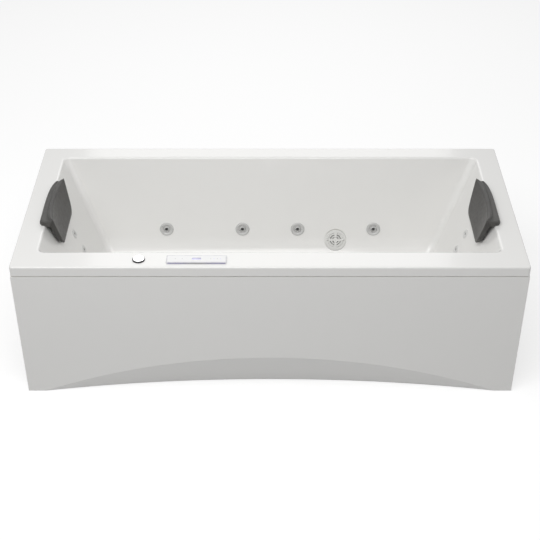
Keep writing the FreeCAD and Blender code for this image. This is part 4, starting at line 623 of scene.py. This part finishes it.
SHELL_AND_PANEL = Solids({
    "tub_shell": SHELL,
    "front_panel": PANEL,
    "floor_board": BOARD,
    "panel_brackets": ZINC})
SUPPORT_FRAME = Solids({
    "frame_long_rails": FRAME_PAINT,
    "frame_cross_rails": FRAME_PAINT,
    "frame_posts": FRAME_PAINT,
    "frame_shelves": FRAME_PAINT,
    "foot_nuts": ZINC,
    "foot_stud": ZINC,
    "foot_pad": RUBBER})
JETS = Solids({
    "jet_rings": RING,
    "jet_nozzle": EYEBALL,
    "jet_bodies": MOULDED,
    "wall_gaskets": RUBBER,
    "micro_jet_faces": TRIM,
    "micro_jet_bodies": MICRO_BODY,
    "suction_body": MOULDED,
    "suction_cover": COVER,
    "cover_screws": ZINC})
PIPEWORK = Solids({
    "water_pipes": PIPE,
    "air_pipes": PIPE,
    "suction_pipes": PIPE,
    "pipe_fittings": MOULDED,
    "air_hose": HOSE})
WASTE_AND_OVERFLOW = Solids({
    "drain_body": CHROME,
    "drain_plug": CHROME,
    "waste_trap": WASTE,
    "overflow_pipes": WASTE,
    "overflow_body": WASTE,
    "overflow_knob": CHROME})
DECK_CONTROLS = Solids({
    "air_valve_body": MOULDED,
    "air_knob": KNOB,
    "keypad_housing": KEYPAD_TRIM,
    "keypad_face": KEYPAD_FILM})
PUMP_AND_CONTROL = Solids({
    "pump_motor": MOTOR_PAINT,
    "pump_volute": PUMP_PLASTIC,
    "pump_rotor": ZINC,
    "control_box": BOX_PLASTIC,
    "cable_gland": NYLON})


# ---------------------------------------------------------------------------------------------
# Mesh helpers
# ---------------------------------------------------------------------------------------------
def object_of(name: str, data: bpy.types.ID) -> bpy.types.Object:
    """Make an object of a mesh, a lamp or a camera, and put it in the scene.

    Args:
        name: the object's name.
        data: what it holds.

    Returns:
        The new object.
    """
    made = bpy.data.objects.new(name, data)
    bpy.context.scene.collection.objects.link(made)
    return made


def piece_from(name: str, mesh: bmesh.types.BMesh, finish: Finish,
               body: str = ROOT, levels: int = 0) -> bpy.types.Object:
    """Turn a bmesh into a piece that rides on a body.

    Args:
        name: the piece's name.
        mesh: its geometry, in metres.
        finish: its surface.
        body: the body that carries it.
        levels: rounds of subdivision.

    Returns:
        The new object.
    """
    bmesh.ops.recalc_face_normals(mesh, faces=mesh.faces)
    data = bpy.data.meshes.new(name)
    mesh.to_mesh(data)
    mesh.free()
    piece = object_of(name, data)
    for face in data.polygons:
        face.use_smooth = True
    if levels:
        rounding = piece.modifiers.new("rounding", "SUBSURF")
        rounding.levels = levels
        rounding.render_levels = levels
    WARDROBE.dress(piece, finish)
    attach(piece, body)
    return piece


def loop_of(mesh: bmesh.types.BMesh, points: Iterable[Union[Point, Vector]]) -> Ring:
    """New vertices at the given points."""
    return [mesh.verts.new(p) for p in points]


def rings_round(mesh: bmesh.types.BMesh, foot: Vector, out: Vector, side: Vector,
                profile: Iterable[Spot], count: int) -> list[Ring]:
    """New rings of vertices round an axis.

    Args:
        mesh: the mesh that they are added to.
        foot: the point that the axis starts from.
        out: the axis's direction.
        side: where the first vertex of each ring stands, square to the axis.
        profile: each ring's radius and its distance along the axis.
        count: vertices in a ring.

    Returns:
        The rings.
    """
    up = out.cross(side)
    turns = [2 * math.pi * i / count for i in range(count)]
    return [
        loop_of(mesh, [foot + out * along + (side * math.cos(t) + up * math.sin(t)) * radius
                       for t in turns])
        for radius, along in profile]


def bridge(mesh: bmesh.types.BMesh, loops: list[Ring]) -> None:
    """Join each loop of vertices to the next with quads.

    Args:
        mesh: the mesh that they belong to.
        loops: closed loops, each with the same number of vertices.
    """
    for near, far in zip(loops, loops[1:]):
        for i in range(len(near)):
            j = (i + 1) % len(near)
            mesh.faces.new((near[i], near[j], far[j], far[i]))


def close(mesh: bmesh.types.BMesh, loops: list[Ring]) -> None:
    """Cap the first and the last of a row of loops."""
    mesh.faces.new(loops[0][::-1])
    mesh.faces.new(loops[-1])


# ---------------------------------------------------------------------------------------------
# Headrests
# ---------------------------------------------------------------------------------------------
@dataclass(frozen=True)
class Bow:
    """Line along a headrest that draws in towards the bath's middle at the headrest's ends."""

    middle: float
    draw: float
    corner: float = 0.0
    sharpness: int = 8

    def at(self, share: float) -> float:
        """Distance from the bath's middle at a place from -1 to 1 along the headrest."""
        return self.middle - self.draw * share ** 2 - self.corner * share ** self.sharpness


class Crest(Enum):
    """Lines along a headrest that its rows of points are set off from."""

    LIP = "edge of the lip on the deck"
    GROOVE = "groove between the roll and the ridge"
    RIDGE = "highest line"
    BROW = "top of the face"
    KNEE = "where the back meets the deck"


@dataclass
class Headrest:
    """Moulded headrest: a rolled lip on the deck, a ridge, and a hollowed pad before the wall.

    Its section has a line over the top and one underneath, paired point by point. The pairs are
    counted from the lip's edge to the toe.
    """

    end: End
    foot: float = 0.478
    clear: float = 0.0008
    lip_near: Bow = Bow(0.8345, 0.001)
    lip_far: Bow = Bow(0.8345, 0.008, 0.008, 6)
    groove: Bow = Bow(0.8160, 0.011)
    ridge: Bow = Bow(0.8050, 0.004, 0.017)
    brow: Bow = Bow(0.7970, 0.016)
    face_top: Bow = Bow(0.7970, 0.017)
    face_top_height: float = 0.600
    face_toe: float = 0.7560
    back_rim: float = 0.796
    back_slope: float = 0.1987
    least_pad: float = 0.012
    knee_height: float = 0.571
    # Crest, distance from it, height.
    over_rows: tuple[tuple[Crest, float, float], ...] = (
        (Crest.LIP, 0.0, 0.5840),
        (Crest.LIP, -0.0012, 0.5925),
        (Crest.LIP, -0.0060, 0.5985),
        (Crest.LIP, -0.0115, 0.5970),
        (Crest.GROOVE, 0.0, 0.5925),
        (Crest.RIDGE, 0.0058, 0.5990),
        (Crest.RIDGE, 0.0020, 0.6055),
        (Crest.RIDGE, -0.0030, 0.6070),
        (Crest.BROW, 0.0016, 0.6035),
        (Crest.BROW, -0.0012, 0.6000))
    # Crest, distance from it, height above the clearance over the deck.
    under_rows: tuple[tuple[Crest, float, float], ...] = (
        (Crest.LIP, -0.0012, 0.0022),
        (Crest.LIP, -0.0050, 0.0),
        (Crest.LIP, -0.0095, 0.0),
        (Crest.LIP, -0.0140, 0.0),
        (Crest.LIP, -0.0190, 0.0),
        (Crest.KNEE, 0.0110, 0.0),
        (Crest.KNEE, 0.0070, 0.0),
        (Crest.KNEE, 0.0040, -0.0002),
        (Crest.KNEE, 0.0018, -0.0015),
        (Crest.KNEE, 0.0004, -0.0040))
    # Height at which the face or the back is read, distance from it, height.
    face_rows: tuple[Point, ...] = (
        (0.594, 0.0, 0.594), (0.570, 0.0, 0.570), (0.545, 0.0, 0.545), (0.520, 0.0, 0.520),
        (0.498, 0.0, 0.498), (0.482, 0.0004, 0.482), (foot, 0.004, 0.4695))
    back_rows: tuple[Point, ...] = (
        (0.566, 0.0, 0.566), (0.556, 0.0, 0.556), (0.538, 0.0, 0.538), (0.517, 0.0, 0.517),
        (0.498, 0.0, 0.498), (0.486, -0.0005, 0.482), (0.481, -0.004, 0.4705))
    # Where each pair ends in y, before the pad's taper.
    near_end: tuple[float, ...] = (
        -0.147, -0.149, -0.151, -0.152, -0.152, -0.157, -0.159, -0.158, -0.158, -0.158,
        -0.160, -0.160, -0.160, -0.160, -0.158, -0.147, -0.136)
    far_end: tuple[float, ...] = (
        0.112, 0.117, 0.122, 0.126, 0.128, 0.130, 0.129, 0.127, 0.125, 0.124,
        0.124, 0.125, 0.125, 0.125, 0.122, 0.112, 0.101)
    taper_top: float = 0.604
    near_taper: float = 0.027
    far_taper: float = 0.034
    round_off: float = 0.005
    shoulder: Spot = (0.25, 0.35)
    stations: int = 19
    station_reach: float = 0.99
    smoothing: int = 2

    def face_x(self, share: float, height: float) -> float:
        """Distance of the pad's face from the bath's middle, hollowed towards the neck.

        Args:
            share: place along the headrest, from -1 to 1.
            height: height above the floor.

        Returns:
            The distance.
        """
        top = self.face_top.at(share)
        fall = (self.face_top_height - height) / (self.face_top_height - self.foot)
        return top + (self.face_toe - top) * fall

    def back_x(self, share: float, height: float) -> float:
        """Distance of the pad's back from the bath's middle, clear of the wall."""
        plane = self.back_rim - self.back_slope * (BATH.deck - height)
        return max(plane, self.face_x(share, height) + self.least_pad)

    def crests(self, share: float) -> dict[Crest, float]:
        """Distance of each crest from the bath's middle.

        Args:
            share: place along the headrest, from -1 to 1.

        Returns:
            The distances by crest.
        """
        return {
            Crest.LIP: (self.lip_near if share < 0 else self.lip_far).at(share),
            Crest.GROOVE: self.groove.at(share),
            Crest.RIDGE: self.ridge.at(share),
            Crest.BROW: self.brow.at(share),
            Crest.KNEE: self.back_x(share, self.knee_height)}

    def section(self, share: float) -> tuple[list[Spot], list[Spot]]:
        """Lines of the section, from the lip's edge to the toe.

        Args:
            share: place along the headrest, from -1 to 1.

        Returns:
            The line over the top and the one underneath, as x and z.
        """
        crests = self.crests(share)
        deck = BATH.deck + self.clear
        over = [(crests[crest] + aside, height) for crest, aside, height in self.over_rows]
        over += [(self.face_x(share, read) + aside, z) for read, aside, z in self.face_rows]
        under = [(crests[crest] + aside, deck + rise) for crest, aside, rise in self.under_rows]
        under += [(self.back_x(share, read) + aside, z) for read, aside, z in self.back_rows]
        return over, under

    def across(self, row: int, height: float, share: float, inset: float) -> float:
        """Place along the bath's width of a point: each pair has its own ends, and the pad tapers.

        Args:
            row: number of the pair.
            height: height of the point.
            share: place along the headrest, from -1 to 1.
            inset: how far the rounded end is drawn in.

        Returns:
            The point's y.
        """
        fall = 0.0
        if row >= len(self.over_rows):
            fall = min(max((self.taper_top - height) / (self.taper_top - self.foot), 0.0), 1.0)
        near = self.near_end[row] + self.near_taper * fall + inset
        far = self.far_end[row] - self.far_taper * fall - inset
        return (near + far) / 2 + share * (far - near) / 2

    def ring(self, share: float, inset: float, shrink: float) -> list[Point]:
        """Closed section at one place along the headrest.

        Args:
            share: place along the headrest, from -1 to 1.
            inset: how far the rounded end is drawn in along the headrest.
            shrink: how far the section is drawn in all round.

        Returns:
            Its points, over the top and back underneath.
        """
        over, under = self.section(share)
        outline = over + under[::-1]
        rows = list(range(len(over))) + list(range(len(under)))[::-1]
        points = []
        for i, ((x, z), row) in enumerate(zip(outline, rows)):
            before, after = outline[i - 1], outline[(i + 1) % len(outline)]
            run, climb = after[0] - before[0], after[1] - before[1]
            length = math.hypot(run, climb) or 1.0
            points.append((self.end.value * (x - shrink * climb / length),
                           self.across(row, z, share, inset), z + shrink * run / length))
        return points

    def build(self) -> bpy.types.Object:
        """Model the headrest and set it in the place of its solid.

        Returns:
            The headrest.
        """
        mesh = bmesh.new()
        soft = self.round_off
        ends = [(0.0, soft), (self.shoulder[0] * soft, self.shoulder[1] * soft), (soft, 0.0)]
        places = [(-1.0, inset, shrink) for inset, shrink in ends]
        places += [(-math.cos(math.pi * i / self.stations) * self.station_reach, soft, 0.0)
                   for i in range(1, self.stations)]
        places += [(1.0, inset, shrink) for inset, shrink in reversed(ends)]
        loops = [loop_of(mesh, self.ring(*place)) for place in places]
        bridge(mesh, loops)
        half = len(loops[0]) // 2
        for loop, turn in ((loops[0], 1), (loops[-1], -1)):
            for i in range(half - 1):
                j = 2 * half - 1 - i
                mesh.faces.new((loop[i], loop[i + 1], loop[j - 1], loop[j])[::turn])
        side = self.end.name.lower()
        node = f"pillow_{side}"
        piece = piece_from(f"headrest_{side}", mesh, SKIN, node, self.smoothing)
        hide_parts(node)
        return piece


# ---------------------------------------------------------------------------------------------
# Deck keypad
# ---------------------------------------------------------------------------------------------
@dataclass
class Keypad:
    """Window, light bar and key marks on the deck's control panel."""

    proud: float = 0.0003
    thick: float = 0.0006
    window: Spot = (0.032, 0.011)
    window_corner: float = 0.22
    corner_steps: int = 5
    key_radius: float = 0.0019
    key_sides: int = 20
    key_shoulder: float = 0.00015
    key_crown: float = 0.7
    plain_keys: tuple[float, ...] = (0.150, 0.265, 0.735, 0.845)
    lit_keys: tuple[float, ...] = (0.790, 0.895)
    bar_inset: float = 0.005
    bar_rise: float = 0.0012
    bar_height: float = 0.0034
    bar_depth: float = 0.0008
    bar_bevel: float = 0.0006
    bar_sunk: float = 0.0002
    bar_tip: float = 0.002
    bar_tip_depth: float = 0.4
    face_low: Vector = field(init=False)
    face_high: Vector = field(init=False)
    low: Vector = field(init=False)
    high: Vector = field(init=False)

    def __post_init__(self) -> None:
        """Find the keypad's face and housing."""
        self.face_low, self.face_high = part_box("keypad_face")
        self.low, self.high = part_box("keypad_housing")

    def plate(self, name: str, centre: Spot, sides: Spot, finish: Finish) -> bpy.types.Object:
        """Thin plate with rounded corners on the keypad's face.

        Args:
            name: the piece's name.
            centre: x and y of its middle.
            sides: its length and width.
            finish: its surface.

        Returns:
            The plate.
        """
        mesh = bmesh.new()
        top = self.face_high.z + self.proud
        radius = min(sides) * self.window_corner
        ring = []
        for quarter, (sx, sy) in enumerate(((1, 1), (-1, 1), (-1, -1), (1, -1))):
            for i in range(self.corner_steps + 1):
                angle = math.radians(90 * quarter + 90 * i / self.corner_steps)
                ring.append((centre[0] + sx * (sides[0] / 2 - radius) + radius * math.cos(angle),
                             centre[1] + sy * (sides[1] / 2 - radius) + radius * math.sin(angle)))
        loops = [loop_of(mesh, [(x, y, z) for x, y in ring]) for z in (top - self.thick, top)]
        bridge(mesh, loops)
        close(mesh, loops)
        return piece_from(name, mesh, finish)

    def key(self, name: str, centre: Spot, finish: Finish) -> bpy.types.Object:
        """Small domed dot that marks a touch key.

        Args:
            name: the piece's name.
            centre: x and y of its middle.
            finish: its surface.

        Returns:
            The dot.
        """
        mesh = bmesh.new()
        top = Vector((*centre, self.face_high.z + self.proud))
        profile = ((self.key_radius, -self.thick), (self.key_radius, -self.key_shoulder),
                   (self.key_crown * self.key_radius, 0.0))
        loops = rings_round(mesh, top, Vector((0.0, 0.0, 1.0)), Vector((1.0, 0.0, 0.0)), profile,
                            self.key_sides)
        bridge(mesh, loops)
        close(mesh, loops)
        return piece_from(name, mesh, finish)

    def light_bar(self) -> bpy.types.Object:
        """Rounded light bar along the housing's front edge.

        Returns:
            The bar.
        """
        mesh = bmesh.new()
        foot, front = BATH.deck + self.bar_rise, self.low.y + self.bar_sunk
        left, right = self.low.x + self.bar_inset, self.high.x - self.bar_inset
        outline = [(0.0, 0.0), (-self.bar_depth, self.bar_bevel),
                   (-self.bar_depth, self.bar_height - self.bar_bevel), (0.0, self.bar_height)]
        stations = ((left, self.bar_tip_depth), (left + self.bar_tip, 1.0),
                    (right - self.bar_tip, 1.0), (right, self.bar_tip_depth))
        loops = [loop_of(mesh, [(x, front + v * squeeze, foot + w) for v, w in outline])
                 for x, squeeze in stations]
        bridge(mesh, loops)
        close(mesh, loops)
        return piece_from("keypad_light_bar", mesh, KEYPAD_GLOW)

    def build(self) -> list[bpy.types.Object]:
        """Model the window, the light bar and the key marks.

        Returns:
            The pieces.
        """
        x, y = ((low + high) / 2 for low, high in zip(self.face_low[:2], self.face_high[:2]))
        made = [self.plate("keypad_window", (x, y), self.window, DISPLAY),
                self.light_bar()]
        for stem, shares, finish in (("keypad_key", self.plain_keys, KEY_MARK),
                                     ("keypad_lit_key", self.lit_keys, DISPLAY)):
            for i, share in enumerate(shares):
                place = self.low.x + share * (self.high.x - self.low.x)
                made.append(self.key(f"{stem}_{i + 1}", (place, y), finish))
        return made


# ---------------------------------------------------------------------------------------------
# Micro jets
# ---------------------------------------------------------------------------------------------
@dataclass
class MicroBoreShades:
    """Painted shade in the recessed middles of the four micro jets: dark domed rings round each
    bore that stand in for the shade inside it.
    """

    behind: float = 0.038
    drops: tuple[float, ...] = (0.166, 0.240)
    radius: float = 0.0044
    bore: float = 0.0012
    rise: float = 0.0012
    lift: float = 0.0001
    shoulder: float = 0.5
    crown: float = 0.7
    mouth: float = 0.8
    sides: int = 24

    def shade_ring(self, name: str, end: End, drop: float) -> bpy.types.Object:
        """Small dark domed ring of painted shade round the outlet's bore, flat on the recess.

        Args:
            name: the piece's name.
            end: the end wall that it is in.
            drop: its distance below the deck.

        Returns:
            The insert.
        """
        mesh = bmesh.new()
        foot = Vector((end.value * BATH.wall_x(drop), self.behind, BATH.deck - drop))
        out = Vector((-end.value * math.cos(BATH.end_lean), 0.0, math.sin(BATH.end_lean)))
        profile = ((self.radius, self.lift), (self.radius, self.shoulder * self.rise),
                   (self.crown * self.radius, self.rise), (self.bore, self.mouth * self.rise),
                   (self.bore, self.lift))
        loops = rings_round(mesh, foot, out, Vector((0.0, 1.0, 0.0)), profile, self.sides)
        bridge(mesh, loops + [loops[0]])
        return piece_from(name, mesh, BORE_SHADE)

    def build(self) -> list[bpy.types.Object]:
        """Model the four rings of painted shade.

        Returns:
            The pieces.
        """
        return [self.shade_ring(f"micro_bore_shade_{end.name.lower()}_{i + 1}", end, drop)
                for end in End for i, drop in enumerate(self.drops)]


# ---------------------------------------------------------------------------------------------
# Studio
# ---------------------------------------------------------------------------------------------
@dataclass(frozen=True)
class Lamp:
    """Soft rectangular lamp: its place, the point it faces, its size and its power in watts."""

    name: str
    spot: Point
    aim: Point
    sides: Spot
    power: float

    def build(self) -> bpy.types.Object:
        """Hang the lamp.

        Returns:
            The lamp.
        """
        data = bpy.data.lights.new(self.name, "AREA")
        data.shape = "RECTANGLE"
        data.size, data.size_y = self.sides
        data.energy = self.power
        made = object_of(self.name, data)
        made.location = self.spot
        look = Vector(self.aim) - Vector(self.spot)
        made.rotation_euler = look.to_track_quat("-Z", "Y").to_euler()
        return made


@dataclass
class Studio:
    """Floor, sky, lamps and camera."""

    focal: float = 75.4
    sensor: float = 36.0
    tilt: float = math.radians(54.28)
    stand: Point = (0.0, -3.5155, 2.9023)
    shift: Spot = (0.0, -0.0426)
    sight: float = 100.0
    sky: float = 0.40
    floor_reach: float = 14.0
    floor_tone: float = 0.50
    floor_mottle: float = 0.01
    floor_mottle_scale: float = 0.8
    floor_glow: float = 0.62
    lamps: tuple[Lamp, ...] = (
        Lamp("overhead", (-0.7, -1.9, 3.7), (0.0, 0.0, 0.4), (3.2, 2.4), 84.0),
        Lamp("window_behind", (0.0, 3.2, 2.8), (0.0, 0.0, 0.6), (2.6, 1.6), 19.0))

    def camera(self) -> bpy.types.Object:
        """Camera at the photograph's angle.

        Returns:
            The camera.
        """
        data = bpy.data.cameras.new("camera")
        data.sensor_width = self.sensor
        data.lens = self.focal
        data.shift_x, data.shift_y = self.shift
        data.clip_end = self.sight
        made = object_of("camera", data)
        made.location = self.stand
        made.rotation_euler = (self.tilt, 0.0, 0.0)
        bpy.context.scene.camera = made
        return made

    def world(self) -> bpy.types.World:
        """Even sky, white where it is seen and dimmer as a light.

        Returns:
            The world.
        """
        graph = Graph(bpy.data.worlds.new("sky"))
        shine = graph.add("ShaderNodeBackground", {
            "Color": rgba(PURE_WHITE), "Strength": graph.band(graph.seen(), 0.0, 1.0, self.sky)})
        bpy.context.scene.world = graph.finish(shine.outputs[0], "ShaderNodeOutputWorld")
        return bpy.context.scene.world

    def floor(self) -> bpy.types.Object:
        """Pale floor that keeps the bath's shadow.

        Returns:
            The floor.
        """
        data = bpy.data.meshes.new("floor")
        r = self.floor_reach
        data.from_pydata([(-r, -r, 0), (r, -r, 0), (r, r, 0), (-r, r, 0)], [], [(0, 1, 2, 3)])
        made = object_of("floor", data)
        graph = Graph(bpy.data.materials.new("pale_floor"))
        grey = (self.floor_tone, self.floor_tone, self.floor_tone)
        tone = graph.mix(graph.noise(graph.place(), self.floor_mottle_scale),
                         rgba(grey, 1.0 - self.floor_mottle), rgba(grey, 1.0 + self.floor_mottle))
        matt = graph.add("ShaderNodeBsdfDiffuse", {"Color": tone})
        glow = graph.add("ShaderNodeEmission", {
            "Color": rgba(PURE_WHITE),
            "Strength": graph.math("MULTIPLY", graph.seen(), self.floor_glow)})
        both = graph.add("ShaderNodeAddShader", {0: matt.outputs[0], 1: glow.outputs[0]})
        made.data.materials.append(graph.finish(both.outputs[0]))
        return made

    def build(self) -> None:
        """Set up the whole studio."""
        self.camera()
        self.world()
        self.floor()
        for lamp in self.lamps:
            lamp.build()


# ---------------------------------------------------------------------------------------------
# Assembly
# ---------------------------------------------------------------------------------------------
def report(verb: str, pieces: Iterable[bpy.types.Object]) -> None:
    """Log what was done to each piece."""
    for piece in pieces:
        LOG.info("%s %s", verb, piece.name)


def main() -> None:
    """Build the studio, dress the solids and add the fine pieces."""
    logging.basicConfig(level=logging.INFO, format="%(name)s: %(message)s")
    bpy.context.scene.view_settings.view_transform = "Standard"
    Studio().build()
    for solids in (SHELL_AND_PANEL, SUPPORT_FRAME, JETS, PIPEWORK, WASTE_AND_OVERFLOW,
                   DECK_CONTROLS, PUMP_AND_CONTROL):
        report("dressed", solids.dress())
    report("built", [Headrest(end).build() for end in End])
    report("built", Keypad().build())
    report("built", MicroBoreShades().build())


if __name__ == "__main__":
    main()
